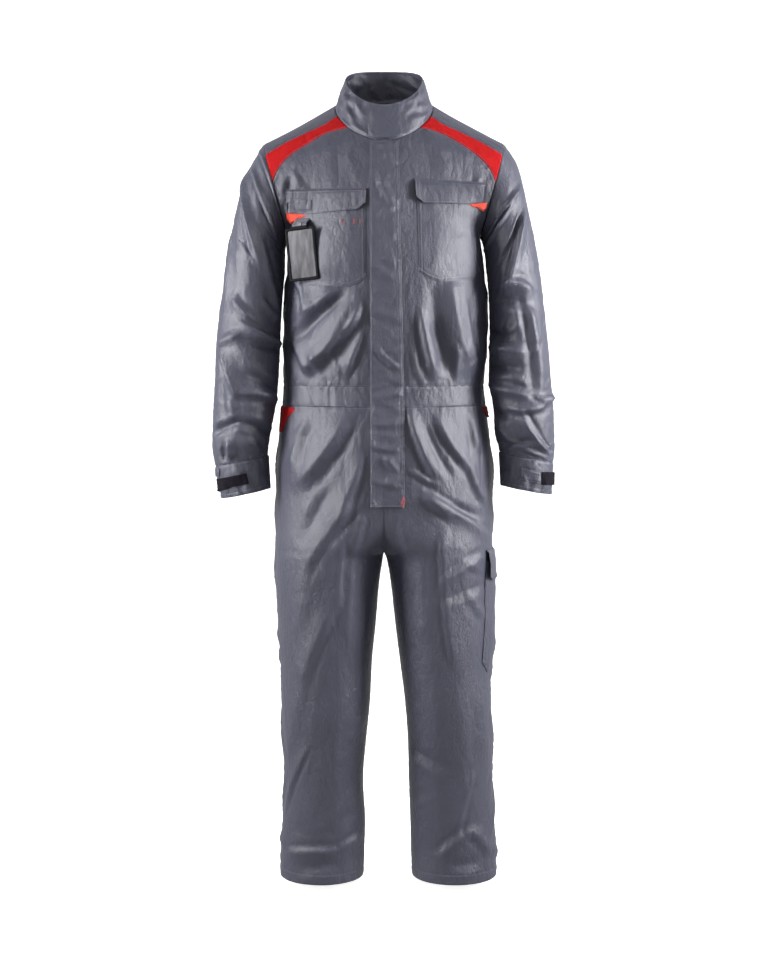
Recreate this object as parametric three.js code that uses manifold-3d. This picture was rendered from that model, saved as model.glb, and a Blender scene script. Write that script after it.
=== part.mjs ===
// Boiler suit, worn shape without a wearer. Millimetres, +Z up, the front faces -Y,
// the wearer's left is +X. The origin lies between the side neck points of the neck seam.
//
// Every piece is a cut panel of cloth: a wall through points that are worked out from the
// tables of sections below. A point of a panel is found by which side it is on, how far
// it is round the body (u) and how far it is up the body (V), then moved by the folds.
import * as THREE from 'three';
import Module from 'manifold-3d';

// ---------------------------------------------------------------- named sizes
const CLOTH = 2.0;            // wall of one panel, twill with its seam allowances
const TRIM = 1.6;             // wall of pockets and flaps that lie on a panel
const SEAM = 0.2;             // each panel ends this far before its seam line
const LIE = 0.8;              // what lies on a panel clears it by this
const WAIST_SEAM = -577, WAIST_TOP = -537;   // waistband between these heights
const UNDERARM = -245;        // height of the underarm point
const CROTCH = -873;
const HEM = -1529, HEM_DIP = 7;
const BODY_POWER = 2.3;       // section of the body: between an ellipse and a rounded box
const NECK_SHARE = 0.55;      // share of the upper body row that runs up to the front neck
const NECK = { half: 97, mid: 5, front: 105, back: 74 };
const RIM = { half: 77, mid: 3, front: 80, back: 66 };
const NECK_RISE = { base: -4.25, cos: -43.5, cos2: -12.25 };   // height round the neck seam
const RIM_RISE = { base: 55.5, cos: -40, cos2: -8.5 };         // height round the collar edge
const ARMHOLE = { topX: 238, topZ: -62, lowX: 190, lowZ: UNDERARM, mid: 5, front: 88, back: 84 };
const PLACKET = { left: -26, rightTop: 27, rightLow: 39, top: -62, bottom: -770, lift: 1.6, wall: 3 };
const BADGE = { x: -158, z: -281, wide: 64, high: 104, deep: 3.2, bar: 6, lean: 6, turn: 24, stand: 6 };
const STRAP = { wide: 30, wall: 1.6, low: 0.6, bend: 5, top: 17 };
const THIGH = { front: -70, back: 108, top: -862, flap: -912, bottom: -1108, corner: 22 };

// body sections, waist seam to underarm: half widths to the wearer's right and left, depths
const BODY = [
  { z: -577, right: 203, left: 203, front: 138, back: 130 },
  { z: -537, right: 200, left: 199, front: 137, back: 129 },
  { z: -508, right: 201, left: 201, front: 140, back: 131 },
  { z: -461, right: 199, left: 203, front: 144, back: 134 },
  { z: -413, right: 199, left: 204, front: 147, back: 138 },
  { z: -365, right: 195, left: 203, front: 149, back: 141 },
  { z: -300, right: 192, left: 198, front: 151, back: 145 },
  { z: -245, right: 190, left: 190, front: 150, back: 148 },
];
// rows from the underarm (0) to the shoulder ridge (1): depth of the row at the centre
const CHEST = [
  { w: 0.00, front: 150, back: 148 },
  { w: 0.20, front: 144, back: 151 },
  { w: 0.40, front: 126, back: 147 },
  { w: 0.55, front: 105, back: 134 },
  { w: 0.70, front: 90, back: 112 },
  { w: 0.85, front: 55, back: 72 },
  { w: 1.00, front: 1, back: 1 },
];
// leg sections: outer edge, inner edge (past the centre seam above the crotch), depths
const LEG = {
  R: [
    { z: -577, out: 203, inn: -203, front: 138, back: 130, mid: 0, power: 2.3 },
    { z: -604, out: 206, inn: -200, front: 140, back: 134, mid: 0, power: 2.3 },
    { z: -652, out: 211, inn: -192, front: 143, back: 142, mid: 0, power: 2.3 },
    { z: -700, out: 214, inn: -178, front: 144, back: 150, mid: 0, power: 2.3 },
    { z: -760, out: 216, inn: -146, front: 144, back: 153, mid: 1, power: 2.25 },
    { z: -815, out: 217, inn: -88, front: 142, back: 150, mid: 2, power: 2.2 },
    { z: -850, out: 218, inn: -34, front: 139, back: 145, mid: 2, power: 2.15 },
    { z: -866, out: 218, inn: -9, front: 137, back: 141, mid: 3, power: 2.1 },
    { z: -873, out: 218, inn: 0, front: 136, back: 139, mid: 3, power: 2.1 },
    { z: -889, out: 218, inn: 3, front: 134, back: 135, mid: 3, power: 2.1 },
    { z: -937, out: 217, inn: 10, front: 128, back: 127, mid: 3, power: 2.1 },
    { z: -1010, out: 213, inn: 16, front: 119, back: 117, mid: 2, power: 2.05 },
    { z: -1091, out: 209, inn: 24, front: 108, back: 107, mid: 0, power: 2 },
    { z: -1172, out: 207, inn: 28, front: 99, back: 99, mid: 0, power: 2 },
    { z: -1254, out: 204, inn: 36, front: 90, back: 91, mid: 3, power: 2 },
    { z: -1336, out: 202, inn: 42, front: 83, back: 84, mid: 7, power: 2 },
    { z: -1417, out: 206, inn: 38, front: 79, back: 80, mid: 10, power: 2 },
    { z: -1500, out: 211, inn: 40, front: 76, back: 77, mid: 12, power: 2 },
    { z: -1540, out: 211, inn: 42, front: 76, back: 77, mid: 12, power: 2 },
  ],
  L: [
    { z: -577, out: 203, inn: -203, front: 138, back: 130, mid: 0, power: 2.3 },
    { z: -604, out: 206, inn: -200, front: 140, back: 134, mid: 0, power: 2.3 },
    { z: -652, out: 212, inn: -192, front: 143, back: 142, mid: 0, power: 2.3 },
    { z: -700, out: 216, inn: -178, front: 144, back: 150, mid: 0, power: 2.3 },
    { z: -760, out: 217, inn: -146, front: 144, back: 153, mid: 1, power: 2.25 },
    { z: -815, out: 217, inn: -88, front: 142, back: 150, mid: 2, power: 2.2 },
    { z: -850, out: 217, inn: -34, front: 139, back: 145, mid: 2, power: 2.15 },
    { z: -866, out: 217, inn: -9, front: 137, back: 141, mid: 3, power: 2.1 },
    { z: -873, out: 217, inn: 0, front: 136, back: 139, mid: 3, power: 2.1 },
    { z: -889, out: 217, inn: 6, front: 134, back: 135, mid: 3, power: 2.1 },
    { z: -937, out: 215, inn: 14, front: 128, back: 127, mid: 3, power: 2.1 },
    { z: -1010, out: 217, inn: 22, front: 119, back: 117, mid: 2, power: 2.05 },
    { z: -1091, out: 215, inn: 32, front: 108, back: 107, mid: 0, power: 2 },
    { z: -1172, out: 216, inn: 42, front: 99, back: 99, mid: 0, power: 2 },
    { z: -1254, out: 218, inn: 48, front: 90, back: 91, mid: 3, power: 2 },
    { z: -1336, out: 220, inn: 50, front: 83, back: 84, mid: 7, power: 2 },
    { z: -1417, out: 224, inn: 53, front: 79, back: 80, mid: 10, power: 2 },
    { z: -1500, out: 229, inn: 55, front: 76, back: 77, mid: 12, power: 2 },
    { z: -1540, out: 229, inn: 57, front: 76, back: 77, mid: 12, power: 2 },
  ],
};
// sleeve rings: outer point, inner point, middle and depths; the first is the armhole,
// ring 11 the cuff seam and ring 12 the cuff's edge
const SLEEVE = {
  R: [
    { k: 0, outX: 238, outZ: -62, innX: 190, innZ: -245, mid: 5, front: 88, back: 84 },
    { k: 1, outX: 262, outZ: -103, innX: 195, innZ: -264, mid: -1, front: 86, back: 84 },
    { k: 2, outX: 281, outZ: -148, innX: 197, innZ: -287, mid: -7, front: 84, back: 84 },
    { k: 3, outX: 293, outZ: -196, innX: 197, innZ: -314, mid: -12, front: 83, back: 84 },
    { k: 4, outX: 304, outZ: -258, innX: 199, innZ: -350, mid: -17, front: 82, back: 83 },
    { k: 5, outX: 314, outZ: -325, innX: 202, innZ: -390, mid: -22, front: 80, back: 81 },
    { k: 6, outX: 325, outZ: -393, innX: 205, innZ: -432, mid: -26, front: 78, back: 79 },
    { k: 7, outX: 332, outZ: -462, innX: 206, innZ: -478, mid: -30, front: 76, back: 76 },
    { k: 8, outX: 335, outZ: -530, innX: 208, innZ: -528, mid: -33, front: 72, back: 72 },
    { k: 9, outX: 339, outZ: -592, innX: 214, innZ: -580, mid: -36, front: 66, back: 66 },
    { k: 10, outX: 340, outZ: -650, innX: 224, innZ: -632, mid: -38, front: 57, back: 57 },
    { k: 11, outX: 334, outZ: -698, innX: 229, innZ: -676, mid: -40, front: 45, back: 45 },
    { k: 12, outX: 321, outZ: -761, innX: 226, innZ: -741, mid: -42, front: 41, back: 41 },
  ],
  L: [
    { k: 0, outX: 238, outZ: -62, innX: 190, innZ: -245, mid: 5, front: 88, back: 84 },
    { k: 1, outX: 263, outZ: -103, innX: 197, innZ: -264, mid: -1, front: 86, back: 84 },
    { k: 2, outX: 276, outZ: -148, innX: 201, innZ: -287, mid: -7, front: 84, back: 84 },
    { k: 3, outX: 286, outZ: -196, innX: 203, innZ: -314, mid: -12, front: 83, back: 84 },
    { k: 4, outX: 298, outZ: -258, innX: 206, innZ: -350, mid: -17, front: 82, back: 83 },
    { k: 5, outX: 309, outZ: -325, innX: 208, innZ: -390, mid: -22, front: 80, back: 81 },
    { k: 6, outX: 317, outZ: -393, innX: 209, innZ: -432, mid: -26, front: 78, back: 79 },
    { k: 7, outX: 325, outZ: -462, innX: 208, innZ: -478, mid: -30, front: 76, back: 76 },
    { k: 8, outX: 331, outZ: -530, innX: 207, innZ: -528, mid: -33, front: 72, back: 72 },
    { k: 9, outX: 337, outZ: -592, innX: 216, innZ: -580, mid: -36, front: 66, back: 66 },
    { k: 10, outX: 338, outZ: -650, innX: 219, innZ: -632, mid: -38, front: 57, back: 57 },
    { k: 11, outX: 335, outZ: -690, innX: 228, innZ: -670, mid: -40, front: 45, back: 45 },
    { k: 12, outX: 331, outZ: -753, innX: 232, innZ: -735, mid: -42, front: 41, back: 41 },
  ],
};
// how far the columns of a leg panel spread round the leg, before they close on its seam
const SPREAD = [
  { z: -1540, deg: 180 }, { z: -1100, deg: 180 }, { z: -960, deg: 172 }, { z: -873, deg: 150 },
  { z: -815, deg: 117 }, { z: -760, deg: 101 }, { z: -700, deg: 94 }, { z: -577, deg: 90 },
];
// seam lines of the shoulder insert on the front, height by distance from the centre
const INSERT_LOW = [
  { x: 70, z: -33 }, { x: 113, z: -45 }, { x: 150, z: -66 }, { x: 187, z: -93 },
  { x: 205, z: -114 }, { x: 219, z: -146 }, { x: 240, z: -200 },
];
const INSERT_TOP = [
  { x: 70, z: 3 }, { x: 94, z: -9 }, { x: 115, z: -24 }, { x: 145, z: -38 },
  { x: 192, z: -61 }, { x: 222, z: -79 }, { x: 240, z: -90 },
];
const YOKE_BACK = [{ x: 0, z: -120 }, { x: 120, z: -126 }, { x: 260, z: -140 }];

// ---------------------------------------------------------------- small helpers
const rad = (d) => (d * Math.PI) / 180;
const lerp = (a, b, t) => a + (b - a) * t;
const clamp = (x, lo, hi) => Math.min(hi, Math.max(lo, x));
const add = (a, b, k = 1) => [a[0] + b[0] * k, a[1] + b[1] * k, a[2] + b[2] * k];
const sub = (a, b) => [a[0] - b[0], a[1] - b[1], a[2] - b[2]];
const cross = (a, b) => [a[1] * b[2] - a[2] * b[1], a[2] * b[0] - a[0] * b[2], a[0] * b[1] - a[1] * b[0]];
const unit = (a) => { const l = Math.hypot(...a) || 1; return [a[0] / l, a[1] / l, a[2] / l]; };
const smooth = (t) => { const c = clamp(t, 0, 1); return c * c * (3 - 2 * c); };
const steps = (a, b, n) => Array.from({ length: n + 1 }, (_, i) => lerp(a, b, i / n));

// smooth curve through one column of a table, without overshoot
function curve(rows, key, col) {
  const list = rows.slice().sort((a, b) => a[key] - b[key]);
  const x = list.map((r) => r[key]), y = list.map((r) => r[col]), n = x.length;
  const d = x.slice(1).map((v, i) => (y[i + 1] - y[i]) / (v - x[i]));
  const m = x.map((_, i) => (i === 0 ? d[0] : i === n - 1 ? d[n - 2]
    : d[i - 1] * d[i] <= 0 ? 0 : (2 * d[i - 1] * d[i]) / (d[i - 1] + d[i])));
  return (v) => {
    const q = clamp(v, x[0], x[n - 1]);
    let i = 0;
    while (i < n - 2 && q > x[i + 1]) i += 1;
    const h = x[i + 1] - x[i], t = (q - x[i]) / h, t2 = t * t, t3 = t2 * t;
    return y[i] * (2 * t3 - 3 * t2 + 1) + m[i] * h * (t3 - 2 * t2 + t)
      + y[i + 1] * (-2 * t3 + 3 * t2) + m[i + 1] * h * (t3 - t2);
  };
}
const columns = (rows, key, names) => Object.fromEntries(names.map((c) => [c, curve(rows, key, c)]));

// ---------------------------------------------------------------- surfaces of the garment
const body = columns(BODY, 'z', ['right', 'left', 'front', 'back']);
const chest = columns(CHEST, 'w', ['front', 'back']);
const leg = { R: columns(LEG.R, 'z', ['out', 'inn', 'front', 'back', 'mid', 'power']),
  L: columns(LEG.L, 'z', ['out', 'inn', 'front', 'back', 'mid', 'power']) };
const spread = curve(SPREAD, 'z', 'deg');
const ringCols = ['outX', 'outZ', 'innX', 'innZ', 'mid', 'front', 'back'];
const sleeve = { R: columns(SLEEVE.R, 'k', ringCols), L: columns(SLEEVE.L, 'k', ringCols) };
const sign = (side) => (side === 'R' ? -1 : 1);

// point of the neck seam and of the collar's edge, by degrees from the front centre
const ringZ = (rise, a) => rise.base + rise.cos * Math.cos(a) + rise.cos2 * Math.cos(2 * a);
function neckPoint(deg) {
  const a = rad(deg), depth = Math.cos(a) > 0 ? NECK.front : NECK.back;
  return [NECK.half * Math.sin(a), NECK.mid - depth * Math.cos(a), ringZ(NECK_RISE, a)];
}
function rimPoint(deg) {
  const a = rad(deg), depth = Math.cos(a) > 0 ? RIM.front : RIM.back;
  return [RIM.half * Math.sin(a), RIM.mid - depth * Math.cos(a), ringZ(RIM_RISE, a)];
}
const collarPoint = (deg, h) => {
  const p = neckPoint(deg), q = rimPoint(deg);
  return [lerp(p[0], q[0], h), lerp(p[1], q[1], h), lerp(p[2], q[2], h)];
};

// point of the sleeve: k is the ring, deg goes from the outer point over the front
function sleevePoint(side, k, deg) {
  const c = sleeve[side], a = rad(deg);
  const ox = c.outX(k), oz = c.outZ(k), ix = c.innX(k), iz = c.innZ(k);
  const depth = Math.sin(a) > 0 ? c.front(k) : c.back(k);
  return [sign(side) * (lerp(ox, ix, 0.5) + ((ox - ix) / 2) * Math.cos(a)),
    c.mid(k) - depth * Math.sin(a), lerp(oz, iz, 0.5) + ((oz - iz) / 2) * Math.cos(a)];
}

// one row of the body: from the centre line or neck seam (I) to the side seam or armhole (O)
function bodyRow(side, face, V) {
  const f = face === 'front', way = f ? -1 : 1;
  if (V <= 1) {
    const z = lerp(WAIST_SEAM, UNDERARM, V), depth = body[face](z);
    return { I: [0, way * depth, z], O: [side === 'R' ? body.right(z) : body.left(z), 0, z], depth, mid: 0, way };
  }
  const w = Math.min(V - 1, 1), depth = chest[face](w), mid = 5 * smooth(w);
  const o = sleevePoint('L', 0, f ? 180 * (1 - w) : -180 * (1 - w));
  let I;
  if (w < NECK_SHARE) {
    const end = neckPoint(f ? 0 : 180), t = w / NECK_SHARE;
    const z = f ? lerp(UNDERARM, end[2], t) : lerp(UNDERARM, end[2], t);
    const y0 = way * chest[face](0), y1 = end[1];
    const tf = curve([{ t: 0, y: y0 }, { t: 0.45, y: lerp(y0, y1, f ? 0.3 : -0.06) }, { t: 0.75, y: lerp(y0, y1, f ? 0.64 : 0.22) }, { t: 1, y: y1 }], 't', 'y');
    I = [0, tf(t), z];
  } else I = neckPoint((f ? 1 : -1) * 90 * ((w - NECK_SHARE) / (1 - NECK_SHARE)) + (f ? 0 : 180));
  return { I, O: [Math.abs(o[0]), o[1], o[2]], depth, mid, way };
}
function bodyPoint(side, face, u, V) {
  if (V > 1.9995) {              // the shoulder ridge is shared by front and back
    const r = bodyRow(side, face, 2), near = bodyPoint(side, 'front', u, 1.9995);
    const g = clamp((Math.abs(near[0]) - r.I[0]) / (r.O[0] - r.I[0]), 0, 1), h = u <= 0 ? 0 : u >= 1 ? 1 : g;
    return [sign(side) * lerp(r.I[0], r.O[0], h), 5, lerp(r.I[2], r.O[2], h)];
  }
  const r = bodyRow(side, face, V), n = BODY_POWER;
  const dI = Math.max(0, r.way * (r.I[1] - r.mid)), dO = Math.max(0, r.way * (r.O[1] - r.mid));
  const B = Math.max(r.depth, dI * 1.0005, dO * 1.0005, 0.5);
  const a0 = Math.acos((dI / B) ** (n / 2)), a1 = Math.acos((dO / B) ** (n / 2));
  const a = lerp(a0, a1, u), s = (v) => Math.max(0, Math.sin(v)) ** (2 / n);
  const g = Math.abs(a1 - a0) < 1e-3 ? u : (s(a) - s(a0)) / (s(a1) - s(a0));
  const drop = u <= 0 ? dI : u >= 1 ? dO : B * Math.max(0, Math.cos(a)) ** (2 / n);
  return [sign(side) * lerp(r.I[0], r.O[0], g), r.mid + r.way * drop, lerp(r.I[2], r.O[2], g)];
}
// M runs over the shoulder: -2 front waist seam, 0 shoulder ridge, 2 back waist seam
const overPoint = (side, u, M) => {
  if (M <= 0) return bodyPoint(side, 'front', u, 2 + M);
  return bodyPoint(side, 'back', u, 2 - M);
};
// point of a leg: t from the outer seam (0) to the centre seam or inner seam (1)
function legAngle(side, z) {
  const c = leg[side], o = c.out(z), i = c.inn(z), mid = (o + i) / 2, a = (o - i) / 2;
  return i >= 0 ? Math.PI : Math.acos(-((mid / a) ** (c.power(z) / 2)));
}
function legPoint(side, face, t, z, dip = 0) {
  const c = leg[side], o = c.out(z), i = c.inn(z), p = 2 / c.power(z);
  const wide = rad(spread(z)), a = wide * t + (legAngle(side, z) - wide) * t ** 3;
  const way = face === 'front' ? -1 : 1, cs = Math.cos(a);
  const x = (o + i) / 2 + ((o - i) / 2) * Math.sign(cs) * Math.abs(cs) ** p;
  return [sign(side) * (t === 1 && i < 0 ? 0 : x), c.mid(z) + way * c[face](z) * Math.max(0, Math.sin(a)) ** p,
    z - dip * (face === 'front' ? Math.sin(a) : 0)];
}

// outward normal of a surface given as f(a, b)
function normalOf(f, a, b, da, db, [a0, a1], [b0, b1], hint) {
  const pa = sub(f(Math.min(a + da, a1), b), f(Math.max(a - da, a0), b));
  const pb = sub(f(a, Math.min(b + db, b1)), f(a, Math.max(b - db, b0)));
  let n = unit(cross(pa, pb));
  if (n[0] * hint[0] + n[1] * hint[1] + n[2] * hint[2] < 0) n = n.map((v) => -v);
  return n;
}
const axisHint = (p, cx, cy, cz) => [p[0] - cx, p[1] - cy, cz === undefined ? 0 : p[2] - cz];

function bodyNormal(side, u, M) {
  const p = overPoint(side, u, M), s = sign(side);
  const n = normalOf((a, b) => overPoint(side, a, b), u, M, 0.02, 0.02, [0, 1], [-2, 2], axisHint(p, s * 40, 0, -320));
  if (Math.abs(p[0]) < 1e-6) n[0] = 0;
  if (u >= 1 && Math.abs(M) >= 1) { n[1] = 0; n[2] *= 0.2; }
  if (Math.abs(M) > 1.9) n[2] = 0;
  return unit(n);
}
function sleeveNormal(side, k, deg) {
  const c = sleeve[side], p = sleevePoint(side, k, deg);
  const n = normalOf((a, b) => sleevePoint(side, a, b), k, deg, 0.2, 3, [0, 12], [-400, 800],
    axisHint(p, sign(side) * (c.outX(k) + c.innX(k)) / 2, c.mid(k), (c.outZ(k) + c.innZ(k)) / 2));
  return n;
}
function collarNormal(deg, h) {
  const p = collarPoint(deg, h);
  return normalOf(collarPoint, deg, h, 2, 0.2, [-400, 800], [0, 1], axisHint(p, 0, NECK.mid));
}
function legNormal(side, face, t, z) {
  const p = legPoint(side, face, t, z), c = leg[side];
  const i = c.inn(z), cx = i > 0 ? sign(side) * (c.out(z) + i) / 2 : sign(side) * Math.max(30, (c.out(z) + i) / 2);
  const n = normalOf((a, b) => legPoint(side, face, a, b), t, z, 0.02, 6, [0, 1], [-1540, WAIST_SEAM], axisHint(p, cx, c.mid(z)));
  if (t <= 0 || (t >= 1 && z <= CROTCH)) n[1] = 0;
  if (z >= WAIST_SEAM - 1) n[2] = 0;
  if (t >= 1 && z > CROTCH) n[0] = -sign(side) * Math.abs(n[0]);
  return unit(n);
}
// seams where two surfaces meet at an angle share the bisecting normal
const armNormal = (side, deg) => {
  const d = ((deg % 360) + 540) % 360 - 180, w = 1 - Math.abs(d) / 180;
  const nb = bodyNormal(side, 0.97, d >= 0 ? -(1 - w) : 1 - w), ns = sleeveNormal(side, 0.25, d);
  return unit(add(nb, ns));
};
const neckNormal = (deg) => {
  const d = ((deg % 360) + 540) % 360 - 180, q = Math.abs(d), side = d < 0 ? 'R' : 'L';
  const M = q <= 90 ? -(1 - NECK_SHARE) * (1 - q / 90) : (1 - NECK_SHARE) * (q / 90 - 1);
  return unit(add(bodyNormal(side, 0.03, M), collarNormal(d, 0.1)));
};

// ---------------------------------------------------------------- largest folds
// soft ridges (high > 0) and troughs on the front and back, from one end to the other
const FOLDS_FRONT = [
  { fromX: -181, fromZ: -337, toX: -156, toZ: -457, wide: 18, high: 9 },
  { fromX: -35, fromZ: -386, toX: -75, toZ: -532, wide: 20, high: 8 },
  { fromX: 66, fromZ: -374, toX: 91, toZ: -532, wide: 20, high: 8 },
  { fromX: 170, fromZ: -370, toX: 120, toZ: -517, wide: 20, high: 9 },
  { fromX: -145, fromZ: -588, toX: -184, toZ: -707, wide: 18, high: 8 },
  { fromX: -29, fromZ: -637, toX: -84, toZ: -800, wide: 21, high: 7 },
  { fromX: 48, fromZ: -592, toX: 93, toZ: -699, wide: 18, high: 9 },
  { fromX: 93, fromZ: -699, toX: 134, toZ: -786, wide: 19, high: 8 },
  { fromX: -89, fromZ: -757, toX: -97, toZ: -992, wide: 20, high: 7 },
  { fromX: -98, fromZ: -995, toX: -165, toZ: -1137, wide: 20, high: 7 },
  { fromX: -154, fromZ: -1281, toX: -198, toZ: -1421, wide: 19, high: 8 },
  { fromX: 109, fromZ: -796, toX: 191, toZ: -880, wide: 19, high: 7 },
  { fromX: 117, fromZ: -864, toX: 152, toZ: -1086, wide: 21, high: 8 },
  { fromX: 172, fromZ: -1237, toX: 141, toZ: -1381, wide: 19, high: 8 },
];
const FOLDS_BACK = [
  { fromX: -150, fromZ: -230, toX: -60, toZ: -420, wide: 20, high: 8 },
  { fromX: 140, fromZ: -220, toX: 80, toZ: -400, wide: 22, high: 7 },
  { fromX: -90, fromZ: -600, toX: -40, toZ: -800, wide: 22, high: 8 },
  { fromX: 100, fromZ: -600, toX: 60, toZ: -790, wide: 20, high: 7 },
  { fromX: -60, fromZ: -900, toX: -140, toZ: -1080, wide: 20, high: 8 },
  { fromX: 70, fromZ: -890, toX: 130, toZ: -1060, wide: 20, high: 7 },
  { fromX: -150, fromZ: -1230, toX: -90, toZ: -1370, wide: 18, high: 7 },
  { fromX: 110, fromZ: -1220, toX: 160, toZ: -1380, wide: 18, high: 7 },
];
function foldAt(list, x, z) {
  let sum = 0;
  for (const f of list) {
    const dx = f.toX - f.fromX, dz = f.toZ - f.fromZ, L2 = dx * dx + dz * dz;
    const t = ((x - f.fromX) * dx + (z - f.fromZ) * dz) / L2;
    if (t < -0.15 || t > 1.15) continue;
    const off = Math.abs((x - f.fromX) * dz - (z - f.fromZ) * dx) / Math.sqrt(L2);
    if (off > 3 * f.wide) continue;
    sum += f.high * Math.exp(-((off / f.wide) ** 2)) * smooth((t + 0.15) / 0.35) * smooth((1.15 - t) / 0.35);
  }
  return sum;
}
const folded = (v, face, mid = 0) => {
  const list = face === 'front' ? FOLDS_FRONT : FOLDS_BACK;
  const flat = face === 'front' && v.p[2] > PLACKET.bottom - 20 ? smooth((Math.abs(v.p[0]) - 64) / 30) : 1;
  const near = smooth((Math.abs(v.p[1] - mid) - 12) / 40) * flat;   // none under the placket
  return { p: add(v.p, v.n, foldAt(list, v.p[0], v.p[2]) * near), n: v.n };
};

// ---------------------------------------------------------------- solids
const wasm = await Module();
wasm.setup();
const suit = new THREE.Group();
suit.name = 'boiler_suit';
const FINISH = {
  cloth: { color: 0x60606b, roughness: 0.62, metalness: 0 },
  insert: { color: 0xc03028, roughness: 0.7, metalness: 0 },
  accent: { color: 0xe0563f, roughness: 0.7, metalness: 0 },
  facing: { color: 0xa83234, roughness: 0.75, metalness: 0 },
  hook: { color: 0x1d1b22, roughness: 0.9, metalness: 0 },
  webbing: { color: 0x5b5c66, roughness: 0.8, metalness: 0 },
  frame: { color: 0x2b2c33, roughness: 0.45, metalness: 0 },
  window: { color: 0x8f9199, roughness: 0.15, metalness: 0 },
};
function place(name, finish, positions, faces) {
  const g = new THREE.BufferGeometry();
  g.setAttribute('position', new THREE.BufferAttribute(new Float32Array(positions.flat()), 3));
  g.setIndex(faces.flat());
  g.computeVertexNormals();
  const mesh = new THREE.Mesh(g, new THREE.MeshStandardMaterial(FINISH[finish]));
  mesh.name = name;
  suit.add(mesh);
}
// a net of points with normals: rows of equal length, joined at equal places
class Net {
  constructor() { this.v = []; this.f = []; this.at = new Map(); }
  id(q) {
    const key = q.p.map((c) => Math.round(c * 200)).join();
    if (!this.at.has(key)) { this.at.set(key, this.v.length); this.v.push(q); }
    return this.at.get(key);
  }
  grid(rows) {
    const ids = rows.map((r) => r.map((q) => this.id(q)));
    for (let j = 0; j + 1 < ids.length; j += 1) {
      for (let i = 0; i + 1 < ids[j].length; i += 1) {
        const a = ids[j][i], b = ids[j][i + 1], c = ids[j + 1][i + 1], d = ids[j + 1][i];
        for (const t of (i + j) % 2 ? [[a, b, c], [a, c, d]] : [[a, b, d], [b, c, d]]) {
          if (new Set(t).size === 3) this.f.push(t);
        }
      }
    }
    return this;
  }
  // turn every face so that it looks along its points' normals
  turned() {
    for (const t of this.f) {
      const [a, b, c] = t.map((i) => this.v[i]);
      const n = cross(sub(b.p, a.p), sub(c.p, a.p)), m = add(add(a.n, b.n), c.n);
      if (n[0] * m[0] + n[1] * m[1] + n[2] * m[2] < 0) t.reverse();
    }
    return this;
  }
  border() {
    const seen = new Map();
    for (const t of this.f) for (let i = 0; i < 3; i += 1) seen.set(`${t[i]},${t[(i + 1) % 3]}`, [t[i], t[(i + 1) % 3]]);
    return [...seen.values()].filter(([a, b]) => !seen.has(`${b},${a}`));
  }
  // closed wall: its outer side is lifted by `lift + wall`, its edge ends `seam` early
  wall({ wall = CLOTH, lift = 0, seam = SEAM, proud = false } = {}) {
    this.turned();
    const edge = this.border(), move = new Map();
    for (const [a, b] of edge) {
      const t = unit(sub(this.v[b].p, this.v[a].p));
      for (const i of [a, b]) {
        if (!move.has(i)) move.set(i, []);
        move.get(i).push(unit(cross(this.v[i].n, t)));
      }
    }
    const at = this.v.map((q, i) => {
      if (!move.has(i)) return q.p;
      const list = move.get(i), m = unit(list.reduce((s, d) => add(s, d), [0, 0, 0]));
      const c = clamp(m[0] * list[0][0] + m[1] * list[0][1] + m[2] * list[0][2], 0.5, 1);
      return add(q.p, m, (q.seam ?? seam) / c);
    });
    const top = proud ? lift + wall : lift, low = top - wall, n = this.v.length;
    const pts = [...at.map((p, i) => add(p, this.v[i].n, top)), ...at.map((p, i) => add(p, this.v[i].n, low))];
    const faces = [...this.f, ...this.f.map(([a, b, c]) => [a + n, c + n, b + n])];
    for (const [a, b] of edge) faces.push([b, a, a + n], [b, a + n, b + n]);
    return { pts, faces };
  }
}
function solidOf({ pts, faces }) {
  return new wasm.Manifold(new wasm.Mesh({ numProp: 3,
    vertProperties: new Float32Array(pts.flat()), triVerts: new Uint32Array(faces.flat()) }));
}
function placeSolid(name, finish, solid) {
  const m = solid.getMesh(), pts = [], faces = [];
  for (let i = 0; i < m.vertProperties.length; i += m.numProp) pts.push([...m.vertProperties.slice(i, i + 3)]);
  for (let i = 0; i < m.triVerts.length; i += 3) faces.push([...m.triVerts.slice(i, i + 3)]);
  place(name, finish, pts, faces);
}
// prism of an outline drawn on the front (x, z), from y0 to y1
function prism(outline, y0, y1) {
  const shape = new THREE.Shape(outline.map(([x, z]) => new THREE.Vector2(x, z)));
  const g = new THREE.ExtrudeGeometry(shape, { depth: y1 - y0, bevelEnabled: false });
  g.rotateX(Math.PI / 2);
  g.translate(0, y1, 0);
  const p = g.getAttribute('position'), key = new Map(), pts = [], faces = [];
  const id = (i) => {
    const q = [p.getX(i), p.getY(i), p.getZ(i)], k = q.map((c) => Math.round(c * 1000)).join();
    if (!key.has(k)) { key.set(k, pts.length); pts.push(q); }
    return key.get(k);
  };
  for (let i = 0; i < p.count; i += 3) faces.push([id(i), id(i + 1), id(i + 2)]);
  return solidOf({ pts, faces });
}

// ---------------------------------------------------------------- body panels
const U = steps(0, 1, 6);
// height share of a row where the panel meets a seam line drawn on the front or back
function seamRow(side, face, u, line, lo, hi) {
  const at = curve(line, 'x', 'z');
  let a = lo, b = hi;
  for (let i = 0; i < 40; i += 1) {
    const m = (a + b) / 2, p = bodyPoint(side, face, u, m);
    if (p[2] < at(Math.abs(p[0]))) a = m; else b = m;
  }
  return (a + b) / 2;
}
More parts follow.
